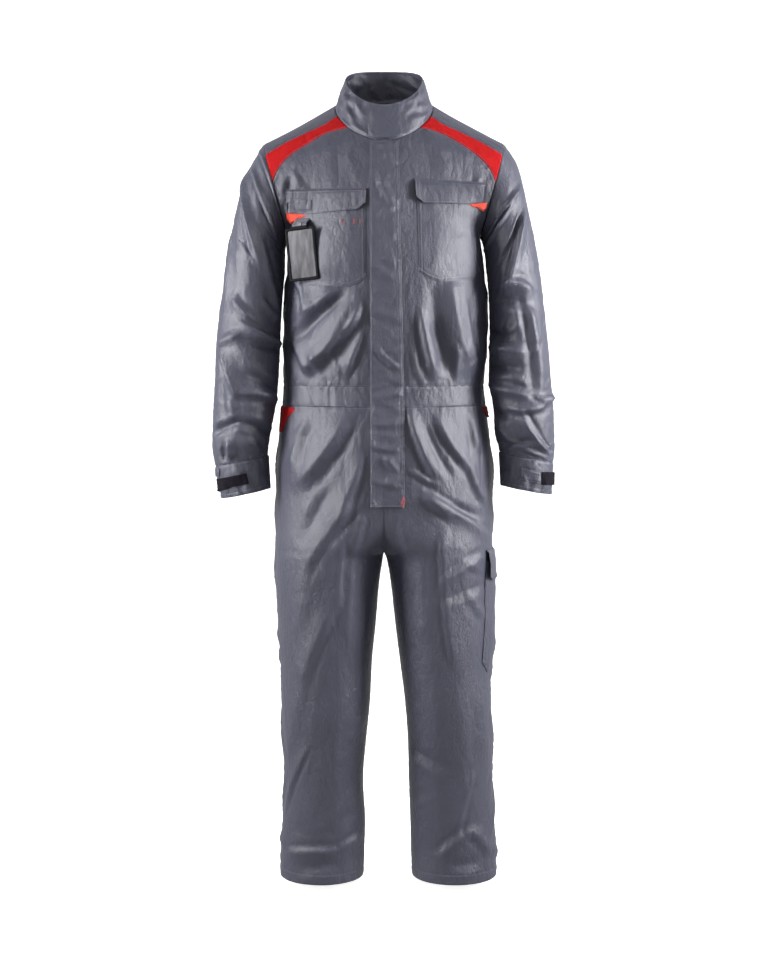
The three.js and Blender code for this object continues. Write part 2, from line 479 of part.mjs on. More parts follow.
// body point with its normal; edges on the neck or armhole take the seam's normal
function bodyQ(side, face, u, V) {
  const p = bodyPoint(side, face, u, V), M = face === 'front' ? V - 2 : 2 - V;
  let n = bodyNormal(side, u, M);
  if (u >= 1 && V > 1) n = armNormal(side, (face === 'front' ? 1 : -1) * 180 * (2 - V));
  if (u <= 0 && V >= 1 + NECK_SHARE) {
    const q = 90 * ((V - 1 - NECK_SHARE) / (1 - NECK_SHARE));
    n = neckNormal(sign(side) * (face === 'front' ? q : 180 - q));
  }
  return folded({ p, n }, face);
}
const topOfBand = (WAIST_TOP - WAIST_SEAM) / (UNDERARM - WAIST_SEAM);
const lowRows = [topOfBand, ...steps(topOfBand, 1, 8).slice(1)];
function rowsBetween(side, face, lo, hi, n) {
  // n rows of points between two seam functions of u
  return steps(0, 1, n).map((t) => U.map((u) => bodyQ(side, face, u, lerp(lo(u), hi(u), t))));
}
const insertLow = (side) => (u) => seamRow(side, 'front', u, INSERT_LOW, 1.3, 1.999);
const insertTop = (side) => (u) => seamRow(side, 'front', u, INSERT_TOP, 1.6, 1.9999);
const nets = {};
const yokeBack = (side) => (u) => seamRow(side, 'back', u, YOKE_BACK, 1.1, 1.95);
const BACK_NECK_ROWS = [2, 1.9, 1.79, 1.67, 1 + NECK_SHARE];
for (const side of ['R', 'L']) {
  const low = insertLow(side), top = insertTop(side);
  const corner = (u) => lerp(1 + NECK_SHARE, 1.36, u);   // row that starts at the front neck point
  const front = new Net();
  front.grid(lowRows.map((V) => U.map((u) => bodyQ(side, 'front', u, V))));
  front.grid(rowsBetween(side, 'front', () => 1, corner, 4));
  front.grid(rowsBetween(side, 'front', corner, low, 4));
  const f = front.wall();
  place(`bodice_front_${side}`, 'cloth', f.pts, f.faces);
  nets[`front_${side}`] = front;
  const insert = new Net().grid(rowsBetween(side, 'front', low, top, 2)).wall();
  place(`shoulder_insert_${side}`, 'insert', insert.pts, insert.faces);
}
const yoke = new Net(), back = new Net();
for (const side of ['R', 'L']) {
  const top = insertTop(side), low = yokeBack(side);
  const neckBack = 1 + NECK_SHARE;
  yoke.grid(rowsBetween(side, 'front', top, () => 2, 1));
  // behind the ridge the rows first follow the neck seam, then the centre line
  const shareRow = (u, V) => lerp(low(u), V, 1);
  yoke.grid(BACK_NECK_ROWS.map((V) => U.map((u) => bodyQ(side, 'back', u, shareRow(u, V)))));
  yoke.grid(steps(0, 1, 2).map((t) => U.map((u) => bodyQ(side, 'back', u, lerp(neckBack, Math.min(low(u), neckBack - 0.02), t)))));
  const lowB = (u) => Math.min(low(u), neckBack - 0.02);
  back.grid(lowRows.map((V) => U.map((u) => bodyQ(side, 'back', u, V))));
  back.grid(rowsBetween(side, 'back', () => 1, lowB, 4));
}
{
  const y = yoke.wall(), b = back.wall();
  place('back_yoke', 'cloth', y.pts, y.faces);
  place('bodice_back', 'cloth', b.pts, b.faces);
}
// waistband: two fronts and one back
const band = (sides, face) => {
  const n = new Net();
  for (const side of sides) n.grid(steps(0, topOfBand, 1).map((V) => U.map((u) => bodyQ(side, face, u, V))));
  return n.wall();
};
for (const side of ['R', 'L']) { const b = band([side], 'front'); place(`waistband_front_${side}`, 'cloth', b.pts, b.faces); }
{ const b = band(['R', 'L'], 'back'); place('waistband_back', 'cloth', b.pts, b.faces); }

// ---------------------------------------------------------------- legs
const T = U.map((u) => 1 - u).reverse();
const legRows = [-577, -610, -645, -680, -715, -750, -785, -815, -838, -854, -866, CROTCH,
  -884, -908, -945, -990, -1040, -1095, -1150, -1205, -1260, -1315, -1370, -1425, -1480, HEM];
for (const side of ['R', 'L']) {
  for (const face of ['front', 'back']) {
    const rows = legRows.map((z) => T.map((t) => folded({
      p: legPoint(side, face, t, z, z === HEM ? HEM_DIP : 0), n: legNormal(side, face, t, z) }, face)));
    const net = new Net().grid(rows), n = net.wall();
    place(`leg_${face}_${side}`, 'cloth', n.pts, n.faces);
    nets[`leg_${face}_${side}`] = net;
    nets[`legRows_${face}_${side}`] = rows;
  }
}

// ---------------------------------------------------------------- sleeves and cuffs
for (const side of ['R', 'L']) {
  // the same points as the bodice, insert and yoke have round the armhole
  const low = insertLow(side)(1), top = insertTop(side)(1), yokeLow = Math.min(yokeBack(side)(1), 1 + NECK_SHARE - 0.02);
  const frontV = [...steps(1, 1.36, 4), ...steps(1.36, low, 4).slice(1), (low + top) / 2, top, 2];
  const backV = [...BACK_NECK_ROWS.slice(1), ...steps(1 + NECK_SHARE, yokeLow, 2).slice(1), ...steps(yokeLow, 1, 4).slice(1)];
  const armDeg = [...frontV.map((V) => 180 * (2 - V)).reverse(), ...backV.map((V) => 360 - 180 * (2 - V)).reverse()]
    .map((d) => Math.round(d * 1e6) / 1e6).filter((d, i, a) => a.indexOf(d) === i).sort((a, b) => a - b);
  armDeg.push(360);
  const ring = (k, list = armDeg) => list.map((d) => ({ p: sleevePoint(side, k, d), seam: k === 0 ? 0.8 : SEAM,
    n: k === 0 ? armNormal(side, d) : k === 11 ? unit(add(sleeveNormal(side, 10.9, d), sleeveNormal(side, 11.1, d))) : sleeveNormal(side, k, d) }));
  nets[`cuff_${side}`] = new Net().grid([11, 11.5, 12].map((k) => ring(k)));
  // front and back sleeve, joined along the outer arm and the underarm
  for (const [face, from, to] of [['front', 0, 180], ['back', 180, 360]]) {
    const list = armDeg.filter((d) => d >= from && d <= to);
    const s = new Net().grid([0, 1, 2, 3.2, 4.5, 5.8, 7, 8.2, 9.3, 10.3, 11].map((k) => ring(k, list))).wall();
    place(`sleeve_${face}_${side}`, 'cloth', s.pts, s.faces);
  }
  const c = new Net().grid([11, 11.5, 12].map((k) => ring(k))).wall({ wall: 2.4 });
  place(`cuff_${side}`, 'cloth', c.pts, c.faces);
}

// ---------------------------------------------------------------- collar
{
  // the same points as the bodice, insert and yoke have along the neck seam
  const low = insertLow('L')(0), top = insertTop('L')(0), deg = (V) => 90 * ((V - 1 - NECK_SHARE) / (1 - NECK_SHARE));
  const front = [...steps(1 + NECK_SHARE, low, 4), (low + top) / 2, top, 2].map(deg);
  const around = [0.12, ...front.slice(1), ...BACK_NECK_ROWS.slice(1).map((V) => 180 - deg(V))];
  const all = [...around, ...around.slice(0, -1).reverse().map((d) => 360 - d)];
  const n = new Net().grid(steps(0, 1, 3).map((h) => all.map((d) => ({
    p: collarPoint(d, h), n: h === 0 ? neckNormal(d) : collarNormal(d, h) })))).wall({ wall: 2.6 });
  place('collar', 'cloth', n.pts, n.faces);
}

// ---------------------------------------------------------------- placket
// point of the front at a place seen from the front
function frontAt(x, z) {
  const side = x < 0 ? 'R' : 'L', ax = Math.abs(x);
  const find = (ok) => { let a = 0, b = 1; for (let i = 0; i < 40; i += 1) { const m = (a + b) / 2; if (ok(m)) a = m; else b = m; } return (a + b) / 2; };
  if (z < WAIST_SEAM) {
    const t = ax === 0 ? 1 : find((m) => Math.abs(legPoint(side, 'front', m, z)[0]) > ax);
    return folded({ p: legPoint(side, 'front', t, z), n: legNormal(side, 'front', t, z) }, 'front');
  }
  const uOf = (V) => (ax === 0 ? 0 : find((m) => Math.abs(bodyPoint(side, 'front', m, V)[0]) < ax));
  const V = 2 * find((m) => bodyPoint(side, 'front', uOf(2 * m), 2 * m)[2] < z), u = uOf(V);
  return folded({ p: bodyPoint(side, 'front', u, V), n: bodyNormal(side, u, V - 2) }, 'front');
}
{
  const zs = [...steps(PLACKET.bottom, WAIST_SEAM, 5), ...steps(WAIST_SEAM, UNDERARM, 8).slice(1), ...steps(UNDERARM, PLACKET.top - 12, 5).slice(1)];
  const rows = zs.map((z) => {
    const right = lerp(PLACKET.rightLow, PLACKET.rightTop, clamp((z + 577) / 515, 0, 1));
    return [PLACKET.left, PLACKET.left / 2, 0, right / 2, right].map((x) => frontAt(x, z));
  });
  rows.push(rows.at(-1).map((q) => {
    const deg = (Math.asin(q.p[0] / NECK.half) * 180) / Math.PI, p = neckPoint(deg);
    return { p: add(p, [0, -0.2, -1.6]), n: q.n };
  }));
  const w = new Net().grid(rows).wall({ wall: PLACKET.wall, lift: PLACKET.lift, seam: 0, proud: true });
  place('placket', 'cloth', w.pts, w.faces);
  // the placket goes on over the collar's front
  const deg = [-18, -8, 2, 12, 21], on = [0.06, 0.35, 0.7, 0.97].map((h) => deg.map((d) => ({ p: collarPoint(d, h), n: collarNormal(d, h) })));
  const c = new Net().grid(on).wall({ wall: 2.4, lift: 0.9, seam: 0, proud: true });
  place('collar_placket', 'cloth', c.pts, c.faces);
}

// ---------------------------------------------------------------- what lies on the panels
// cut from a panel's own points, moved out, along an outline seen from the front or the side
function lieOn(name, finish, net, lift, wall, cutter) {
  const shell = solidOf(net.wall({ wall, lift, seam: 0, proud: true }));
  placeSolid(name, finish, shell.intersect(cutter));
}
const POCKET = {
  R: [[-184, -186], [-35, -186], [-35, -326], [-48, -337], [-69, -345], [-150, -342], [-172, -328]],
  L: [[63, -177], [190, -180], [186, -314], [174, -330], [108, -336], [85, -328], [68, -315]],
};
const FLAP = {
  R: [[-190, -155], [-34, -155], [-34, -184], [-50, -198], [-138, -203], [-190, -199]],
  L: [[59, -137], [200, -142], [200, -178], [158, -184], [75, -184], [60, -172]],
};
const WEDGE = {
  R: [[-190, -200.4], [-139, -204.2], [-174, -213], [-182, -220], [-189, -211]],
  L: [[159, -185], [200, -180], [199, -190], [193, -197], [175, -189]],
};
const over = LIE + TRIM + 0.6;
for (const side of ['R', 'L']) {
  const net = nets[`front_${side}`];
  lieOn(`chest_pocket_${side}`, 'cloth', net, LIE, TRIM, prism(POCKET[side], -260, -40));
  lieOn(`chest_flap_${side}`, 'cloth', net, over, TRIM, prism(FLAP[side], -260, -30));
  lieOn(`flap_wedge_${side}`, 'accent', net, over, TRIM, prism(WEDGE[side], -260, -30));
}
const FACING = {
  R: [[-204, -580], [-175, -580], [-175, -585], [-189, -600], [-201, -630], [-207, -630]],
  L: [[204, -580], [194, -580], [197, -588], [204, -602], [208, -602]],
};
for (const side of ['R', 'L']) lieOn(`pocket_facing_${side}`, 'facing', nets[`leg_front_${side}`], 0.6, 1.2, prism(FACING[side], -150, -12));

// hook and tab of each cuff, seen from the front
const TAB = {
  R: { hook: [[-330, -722], [-297, -714], [-270, -709], [-266, -729], [-295, -735], [-330, -748]], tab: [[-338, -700], [-322, -700], [-322, -717], [-338, -720]] },
  L: { hook: [[309, -706], [340, -709], [340, -735], [309, -731]], tab: [[270, -697], [308, -706], [308, -730], [270, -722]] },
};
for (const side of ['R', 'L']) {
  lieOn(`cuff_hook_${side}`, 'hook', nets[`cuff_${side}`], 0.6, 1.6, prism(TAB[side].hook, -120, -44));
  lieOn(`cuff_tab_${side}`, 'cloth', nets[`cuff_${side}`], 0.6, 1.6, prism(TAB[side].tab, -120, -44));
}

// long thigh pocket round the outer seam of the wearer's left leg, seen from that side
{
  const both = new Net().grid(nets.legRows_front_L).grid(nets.legRows_back_L);
  const side = (outline) => { const s = prism(outline, -320, -150); return s.rotate([0, 0, 90]); };
  const { front: a, back: b, top, flap, bottom, corner: c } = THIGH;
  const pocket = [[a, top - 22], [b, top - 22], [b, bottom + c], [b - c, bottom], [a + c, bottom], [a, bottom + c]];
  const lid = [[a - 3, top], [b + 3, top], [b + 3, flap], [b - 20, flap - 10], [a + 20, flap - 10], [a - 3, flap]];
  lieOn('thigh_pocket', 'cloth', both, LIE, TRIM, side(pocket));
  lieOn('thigh_flap', 'cloth', both, over, TRIM, side(lid));
}

// badge holder: a webbing strap from the flap and a flat frame with a window
{
  const yaw = (-BADGE.turn * Math.PI) / 180;
  // the frame's back stays clear of the chest over its whole width
  const deepest = Math.min(...[-0.5, -0.25, 0, 0.25, 0.5].flatMap((s) => [-0.5, 0, 0.5].map((v) => {
    const a = s * BADGE.wide, q = frontAt(BADGE.x + a * Math.cos(yaw), BADGE.z + v * BADGE.high);
    return q.p[1] - BADGE.stand - a * Math.sin(yaw);
  })));
  const rounded = (w, h, r, Kind) => {
    const s = new Kind();
    s.moveTo(-w / 2 + r, -h / 2); s.lineTo(w / 2 - r, -h / 2); s.absarc(w / 2 - r, -h / 2 + r, r, -Math.PI / 2, 0, false);
    s.lineTo(w / 2, h / 2 - r); s.absarc(w / 2 - r, h / 2 - r, r, 0, Math.PI / 2, false);
    s.lineTo(-w / 2 + r, h / 2); s.absarc(-w / 2 + r, h / 2 - r, r, Math.PI / 2, Math.PI, false);
    s.lineTo(-w / 2, -h / 2 + r); s.absarc(-w / 2 + r, -h / 2 + r, r, Math.PI, 1.5 * Math.PI, false);
    return s;
  };
  const hang = new THREE.Group();
  hang.position.set(BADGE.x, deepest, BADGE.z);
  hang.rotation.set(0, 0, yaw);
  const flat = new THREE.Group();
  flat.rotation.set(Math.PI / 2, 0, 0);
  const lean = new THREE.Group();
  lean.rotation.set(0, 0, (BADGE.lean * Math.PI) / 180);
  hang.add(flat); flat.add(lean); suit.add(hang);
  const piece = (name, finish, shape, depth, shift, lift) => {
    const g = new THREE.ExtrudeGeometry(shape, { depth, bevelEnabled: false, curveSegments: 3 });
    const m = new THREE.Mesh(g, new THREE.MeshStandardMaterial(FINISH[finish]));
    m.name = name; m.position.set(0, shift, lift); lean.add(m);
  };
  const frame = rounded(BADGE.wide, BADGE.high, 5, THREE.Shape);
  frame.holes.push(rounded(BADGE.wide - 2 * BADGE.bar, BADGE.high - 2 * BADGE.bar, 3, THREE.Path));
  piece('badge_frame', 'frame', frame, BADGE.deep, 0, 0);
  piece('badge_window', 'window', rounded(BADGE.wide - 2 * BADGE.bar - 0.8, BADGE.high - 2 * BADGE.bar - 0.8, 2.6, THREE.Shape), 0.8, 0, 1.2);
  // the strap bends back from the frame to the flap; its profile is seen from the side
  const { wide, wall, low, bend, top } = STRAP, h = BADGE.high / 2;
  const back = (frontAt(BADGE.x, BADGE.z + h + top).p[1] - over - TRIM - 1.4 - deepest) * Math.cos(yaw);
  const line = [[-0.4, h + low], [-0.4, h + bend], [back, h + top]];
  const profile = new THREE.Shape([...line, ...line.slice().reverse().map(([y, z]) => [y - wall, z])].map(([y, z]) => new THREE.Vector2(y, z)));
  const band = new THREE.Mesh(new THREE.ExtrudeGeometry(profile, { depth: wide, bevelEnabled: false }), new THREE.MeshStandardMaterial(FINISH.webbing));
  const turned = new THREE.Group(), tilt = new THREE.Group();
  turned.quaternion.setFromAxisAngle(new THREE.Vector3(1, 1, 1).normalize(), (2 * Math.PI) / 3);
  tilt.rotation.set(0, (-BADGE.lean * Math.PI) / 180, 0);
  band.name = 'badge_strap'; band.position.set(0, 0, -wide / 2);
  turned.add(band); tilt.add(turned); hang.add(tilt);
}

export default suit;
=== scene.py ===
# Boiler suit as worn, without a wearer: the finish of every panel.
# Sizes are in millimetres until a mesh is made; the front faces -Y and the wearer's left is +X.
import math
import bpy
import numpy as np
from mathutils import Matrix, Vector
from mathutils.bvhtree import BVHTree


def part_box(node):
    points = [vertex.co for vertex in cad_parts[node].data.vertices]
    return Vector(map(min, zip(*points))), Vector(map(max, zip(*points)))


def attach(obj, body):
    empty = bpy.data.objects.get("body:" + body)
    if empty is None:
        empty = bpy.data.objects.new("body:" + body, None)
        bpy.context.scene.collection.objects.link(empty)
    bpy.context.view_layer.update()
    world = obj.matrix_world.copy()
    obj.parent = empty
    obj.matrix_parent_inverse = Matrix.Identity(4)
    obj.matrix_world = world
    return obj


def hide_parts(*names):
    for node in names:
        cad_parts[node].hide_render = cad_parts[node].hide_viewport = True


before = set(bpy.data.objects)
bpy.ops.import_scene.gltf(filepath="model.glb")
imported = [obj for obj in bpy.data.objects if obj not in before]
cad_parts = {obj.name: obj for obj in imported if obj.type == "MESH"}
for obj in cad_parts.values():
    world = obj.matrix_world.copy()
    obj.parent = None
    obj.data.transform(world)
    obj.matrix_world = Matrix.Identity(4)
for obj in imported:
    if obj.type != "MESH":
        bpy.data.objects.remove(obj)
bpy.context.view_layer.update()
STEP, STEP_BACK = 4.1, 6.2      # grid steps of the cloth

# ---------------------------------------------------------------- named sizes
WAIST_SEAM, WAIST_TOP, UNDERARM, CROTCH, HEM, HEM_DIP = -577.0, -537.0, -245.0, -873.0, -1529.0, 7.0
BODY_POWER, NECK_SHARE = 2.3, 0.55
NECK = dict(half=97, mid=5, front=105, back=74)
RIM = dict(half=77, mid=3, front=80, back=66)
NECK_RISE = (-4.25, -43.5, -12.25)
RIM_RISE = (56.1, -38.75, -7.9)
CLOTH = 1.2                # wall of one layer of twill
TRIM = 1.0                 # wall of pockets and flaps
STITCH = dict(long=2.5, gap=0.9, wide=0.75, high=0.5)
EDGE = [0, 0.7, 1.5, 2.4, 4.0, 6.2, 7.4, 8.6, 11.0]      # rows of points beside a seam
BADGE = dict(x=-158, z=-281, wide=64, high=104, deep=3.2, bar=6, lean=6, turn=24)


def table(names, rows):
    """Rows with named columns, as a dict of arrays."""
    cols = names.split()
    a = np.array([[float(v) for v in r] for r in rows])
    return {c: a[:, i] for i, c in enumerate(cols)}


BODY = table("z right left front back", [
    (-577, 203, 203, 138, 130), (-537, 200, 199, 137, 129), (-508, 201, 201, 140, 131), (-461, 199, 203, 144, 134),
    (-413, 199, 204, 147, 138), (-365, 195, 203, 149, 141), (-300, 192, 198, 151, 145), (-245, 190, 190, 150, 148)])
CHEST = table("w front back", [
    (0.00, 150, 148), (0.20, 144, 151), (0.40, 126, 147), (0.55, 105, 134), (0.70, 90, 112), (0.85, 55, 72), (1.00, 1, 1)])
LEG_COLUMNS = "z out inn front back mid power"
LEG = {
    "R": table(LEG_COLUMNS, [
        (-577, 203, -203, 138, 130, 0, 2.3), (-604, 206, -200, 140, 134, 0, 2.3), (-652, 211, -192, 143, 142, 0, 2.3),
        (-700, 214, -178, 144, 150, 0, 2.3), (-760, 216, -146, 144, 153, 1, 2.25), (-815, 217, -88, 142, 150, 2, 2.2),
        (-850, 218, -34, 139, 145, 2, 2.15), (-866, 218, -9, 137, 141, 3, 2.1), (-873, 218, 0, 136, 139, 3, 2.1),
        (-889, 218, 3, 134, 135, 3, 2.1), (-937, 217, 10, 128, 127, 3, 2.1), (-1010, 213, 16, 119, 117, 2, 2.05),
        (-1091, 209, 24, 108, 107, 0, 2), (-1172, 207, 28, 99, 99, 0, 2), (-1254, 204, 36, 90, 91, 3, 2),
        (-1336, 202, 42, 83, 84, 7, 2), (-1417, 206, 38, 79, 80, 10, 2), (-1500, 211, 40, 76, 77, 12, 2),
        (-1540, 211, 42, 76, 77, 12, 2)]),
    "L": table(LEG_COLUMNS, [
        (-577, 203, -203, 138, 130, 0, 2.3), (-604, 206, -200, 140, 134, 0, 2.3), (-652, 212, -192, 143, 142, 0, 2.3),
        (-700, 216, -178, 144, 150, 0, 2.3), (-760, 217, -146, 144, 153, 1, 2.25), (-815, 217, -88, 142, 150, 2, 2.2),
        (-850, 217, -34, 139, 145, 2, 2.15), (-866, 217, -9, 137, 141, 3, 2.1), (-873, 217, 0, 136, 139, 3, 2.1),
        (-889, 217, 6, 134, 135, 3, 2.1), (-937, 215, 14, 128, 127, 3, 2.1), (-1010, 217, 22, 119, 117, 2, 2.05),
        (-1091, 215, 32, 108, 107, 0, 2), (-1172, 216, 42, 99, 99, 0, 2), (-1254, 218, 48, 90, 91, 3, 2),
        (-1336, 220, 50, 83, 84, 7, 2), (-1417, 224, 53, 79, 80, 10, 2), (-1500, 229, 55, 76, 77, 12, 2),
        (-1540, 229, 57, 76, 77, 12, 2)]),
}
SPREAD = table("z deg", [(-1540, 180), (-1100, 180), (-960, 172), (-873, 150), (-815, 117), (-760, 101), (-700, 94), (-577, 90)])
RING = "k outX outZ innX innZ mid front back"
SLEEVE = {
    "R": table(RING, [
        (0, 238, -62, 190, -245, 5, 88, 84), (1, 262, -103, 195, -264, -1, 86, 84), (2, 281, -148, 197, -287, -7, 84, 84),
        (3, 293, -196, 197, -314, -12, 83, 84), (4, 304, -258, 199, -350, -17, 82, 83), (5, 314, -325, 202, -390, -22, 80, 81),
        (6, 325, -393, 205, -432, -26, 78, 79), (7, 332, -462, 206, -478, -30, 76, 76), (8, 335, -530, 208, -528, -33, 72, 72),
        (9, 339, -592, 214, -580, -36, 66, 66), (10, 340, -650, 224, -632, -38, 57, 57), (11, 334, -698, 229, -676, -40, 45, 45),
        (12, 321, -761, 226, -741, -42, 41, 41)]),
    "L": table(RING, [
        (0, 238, -62, 190, -245, 5, 88, 84), (1, 263, -103, 197, -264, -1, 86, 84), (2, 276, -148, 201, -287, -7, 84, 84),
        (3, 286, -196, 203, -314, -12, 83, 84), (4, 298, -258, 206, -350, -17, 82, 83), (5, 309, -325, 208, -390, -22, 80, 81),
        (6, 317, -393, 209, -432, -26, 78, 79), (7, 325, -462, 208, -478, -30, 76, 76), (8, 331, -530, 207, -528, -33, 72, 72),
        (9, 337, -592, 216, -580, -36, 66, 66), (10, 338, -650, 219, -632, -38, 57, 57), (11, 335, -690, 228, -670, -40, 45, 45),
        (12, 331, -753, 232, -735, -42, 41, 41)]),
}
INSERT_LOW = table("x z", [(70, -33), (113, -45), (150, -66), (187, -93), (205, -114), (219, -146), (240, -200)])
INSERT_TOP = table("x z", [(70, 3), (94, -9), (115, -24), (145, -38), (192, -61), (222, -79), (240, -90)])
YOKE_BACK = table("x z", [(0, -120), (120, -126), (260, -140)])

FOLD_SCALE = 1.42
# One fold a row, seen from the front (or from the back): its two ends, how far its middle bows,
# its half width, its height (negative for a trough), which side is gentler, how much it widens.
FOLD = "x0 z0 x1 z1 bow wide high skew flare"
FRONT_FOLDS = table(FOLD, [
    # below the pocket on the wearer's right, down to the waistband
    (-89, -347, -166, -405, 2, 13, 7, 0.3, 0.2), (-79, -364, -174, -447, 0, 9, -6, 0, 0.2),
    (-35, -374, -162, -509, -8, 19, 13, 0.45, 0.3), (-31, -420, -71, -513, 3, 9, 7, 0.4, -0.2),
    (-108, -464, -85, -517, 0, 4, 3.2, 0, 0), (-54, -382, -98, -470, 0, 7, -4, 0, 0),
    (-183, -309, -148, -393, -5, 8, 6, -0.3, 0), (-193, -447, -157, -517, 0, 9, -6, 0.2, 0),
    (-135, -470, -124, -520, 0, 6, 3, 0, 0.3),
    # the same on the wearer's left
    (69, -393, 97, -520, 2, 9, 9, -0.35, 0.8), (125, -332, 166, -509, 5, 24, 11, -0.2, 0.4),
    (100, -405, 122, -509, 0, 9, -6, 0, 0.3), (166, -370, 182, -486, 0, 6, -4, 0, 0),
    (56, -470, 68, -524, 0, 4, 3, 0, 0), (137, -457, 141, -524, 0, 5, 3.5, 0, 0),
    # chest beside the inserts
    (-176, -118, -160, -150, 0, 7, 4, 0.3, 0), (-178, -128, -190, -200, 3, 6, -4, 0, 0),
    (184, -130, 178, -165, 0, 6, 3, 0, 0), (-60, -60, -52, -140, 2, 14, 2.5, 0, 0), (110, -70, 120, -130, 2, 16, 2.5, 0, 0),
    # hips, wearer's right
    (-70, -594, -169, -730, -6, 20, 11, 0.4, 0.3), (-151, -606, -178, -699, 4, 10, 5, 0.2, 0),
    (-23, -652, -89, -796, 3, 13, 7, 0.3, 0.3), (-60, -767, -152, -887, 5, 12, 7, 0.3, 0.1),
    (-105, -734, -164, -846, 0, 10, -4, 0, 0), (-35, -757, -62, -875, 0, 8, 4, 0.2, 0),
    # hips, wearer's left
    (46, -582, 103, -718, 7, 9, 9, -0.5, 0.4), (101, -598, 167, -699, 5, 10, 8, -0.4, 0.2),
    (167, -695, 198, -767, 3, 8, 6, -0.3, 0), (170, -598, 184, -664, 0, 7, 5, -0.2, 0),
    (81, -617, 132, -714, 3, 8, -5, 0, 0), (50, -699, 105, -730, 0, 5, 4, 0, 0),
    (78, -749, 128, -792, 0, 8, 7, -0.3, 0), (78, -745, 210, -840, -5, 9, 6, 0.3, 0),
    (132, -767, 194, -796, 0, 7, -4, 0, 0), (39, -796, 55, -934, 0, 10, 4, 0, 0.3),
    # right leg
    (-82, -836, -90, -966, 2, 10, 7, 0.4, 0), (-90, -954, -165, -1135, 7, 14, 8, 0.4, 0.3),
    (-144, -905, -173, -1035, 3, 14, 5, 0.2, 0.2), (-129, -875, -158, -954, 0, 9, -4, 0, 0),
    (-62, -895, -71, -1075, 0, 12, 3.5, 0, 0), (-43, -875, -51, -1035, 0, 10, -3, 0, 0),
    (-165, -1135, -190, -1277, 2, 16, 5, 0.3, 0), (-152, -1257, -203, -1404, 4, 7, 7, 0.5, -0.2),
    (-87, -1157, -107, -1360, 0, 20, 4, 0, 0), (-201, -1476, -92, -1466, -3, 9, 7, 0.3, 0),
    (-92, -1466, -40, -1442, -2, 9, 6, 0.3, 0), (-167, -1505, -88, -1493, 0, 10, -4, 0, 0),
    (-67, -1247, -43, -1197, 0, 9, 4, 0, 0), (-64, -1384, -115, -1440, 0, 10, -3, 0, 0),
    # left leg
    (109, -823, 117, -934, 0, 9, 8, -0.5, 0), (117, -930, 138, -1091, 3, 10, 7, -0.5, 0.2),
    (115, -920, 193, -875, -3, 9, 6, 0.2, 0), (115, -954, 199, -926, 0, 9, -4, 0, 0),
    (164, -938, 200, -996, 2, 7, 5, 0, 0), (152, -875, 195, -905, 0, 6, 3, 0, 0),
    (70, -875, 79, -1035, 0, 14, 4, -0.2, 0), (94, -1135, 111, -1277, 0, 20, 4, 0, 0),
    (193, -1135, 198, -1277, 0, 14, 6, -0.3, 0), (55, -1261, 123, -1297, 0, 10, -5, 0, 0),
    (178, -1313, 143, -1436, 2, 9, 8, 0.4, 0.2), (109, -1481, 175, -1424, -3, 10, 8, 0.2, 0),
    (175, -1424, 215, -1481, -3, 10, 7, -0.2, 0), (135, -1497, 195, -1489, 0, 10, -5, 0, 0),
    (71, -1360, 80, -1460, 0, 14, 4, 0, 0),
])
BACK_FOLDS = table(FOLD, [
    (-165, -190, -60, -400, 10, 18, 9, 0.3, 0.3), (150, -185, 84, -380, -8, 19, 8, -0.3, 0.3),
    (-40, -180, -26, -330, 3, 14, 5, 0, 0.2), (52, -230, 30, -400, 3, 12, -4, 0, 0),
    (-150, -330, -110, -500, 6, 14, 8, 0.3, 0.4), (138, -360, 96, -505, -5, 16, 9, -0.4, 0.2),
    (-60, -420, -70, -520, 0, 9, 5, 0, 0.2), (20, -400, 12, -520, 3, 10, 6, 0.2, 0.3), (60, -430, 72, -520, 0, 7, 4, 0, 0),
    (-168, -300, -130, -330, 0, 9, 5, 0.2, 0), (170, -290, 120, -345, 0, 10, 5, 0.2, 0),
    (-110, -598, -60, -760, -8, 20, 9, -0.3, 0.3), (96, -596, 58, -780, 8, 18, 8, 0.3, 0.2),
    (-20, -600, -30, -700, 0, 9, 5, 0, 0.3), (40, -606, 44, -690, 0, 8, 4, 0, 0),
    (-180, -610, -150, -720, 3, 11, 6, 0, 0), (172, -620, 150, -730, 3, 12, 6, 0, 0),
    (-30, -800, -120, -900, 8, 12, 8, 0.4, 0.2), (28, -790, 140, -905, -8, 13, 9, -0.4, 0.2),
    (-60, -870, -150, -960, 5, 10, 6, 0.3, 0), (52, -880, 150, -950, -4, 10, 5, -0.3, 0),
    (-100, -960, -140, -1110, 5, 16, 7, 0.2, 0.2), (120, -960, 150, -1100, -5, 15, 7, -0.2, 0.2),
    (-60, -1060, -170, -1110, 4, 9, 6, 0.2, 0), (60, -1080, 180, -1040, 4, 9, 6, 0.2, 0),
    (-70, -1110, -180, -1150, 3, 10, 5, 0.2, 0), (70, -1120, 185, -1140, 3, 8, 4, 0, 0),
    (-150, -1200, -100, -1370, 5, 14, 7, 0.3, 0.2), (126, -1190, 170, -1370, 4, 14, 7, -0.3, 0.2),
    (-60, -1440, -170, -1480, -4, 10, 7, 0.2, 0), (70, -1470, 180, -1440, 4, 10, 7, 0.2, 0),
    (-110, -1380, -180, -1430, 2, 9, 5, 0, 0), (96, -1390, 120, -1450, 2, 9, 5, 0, 0),
])
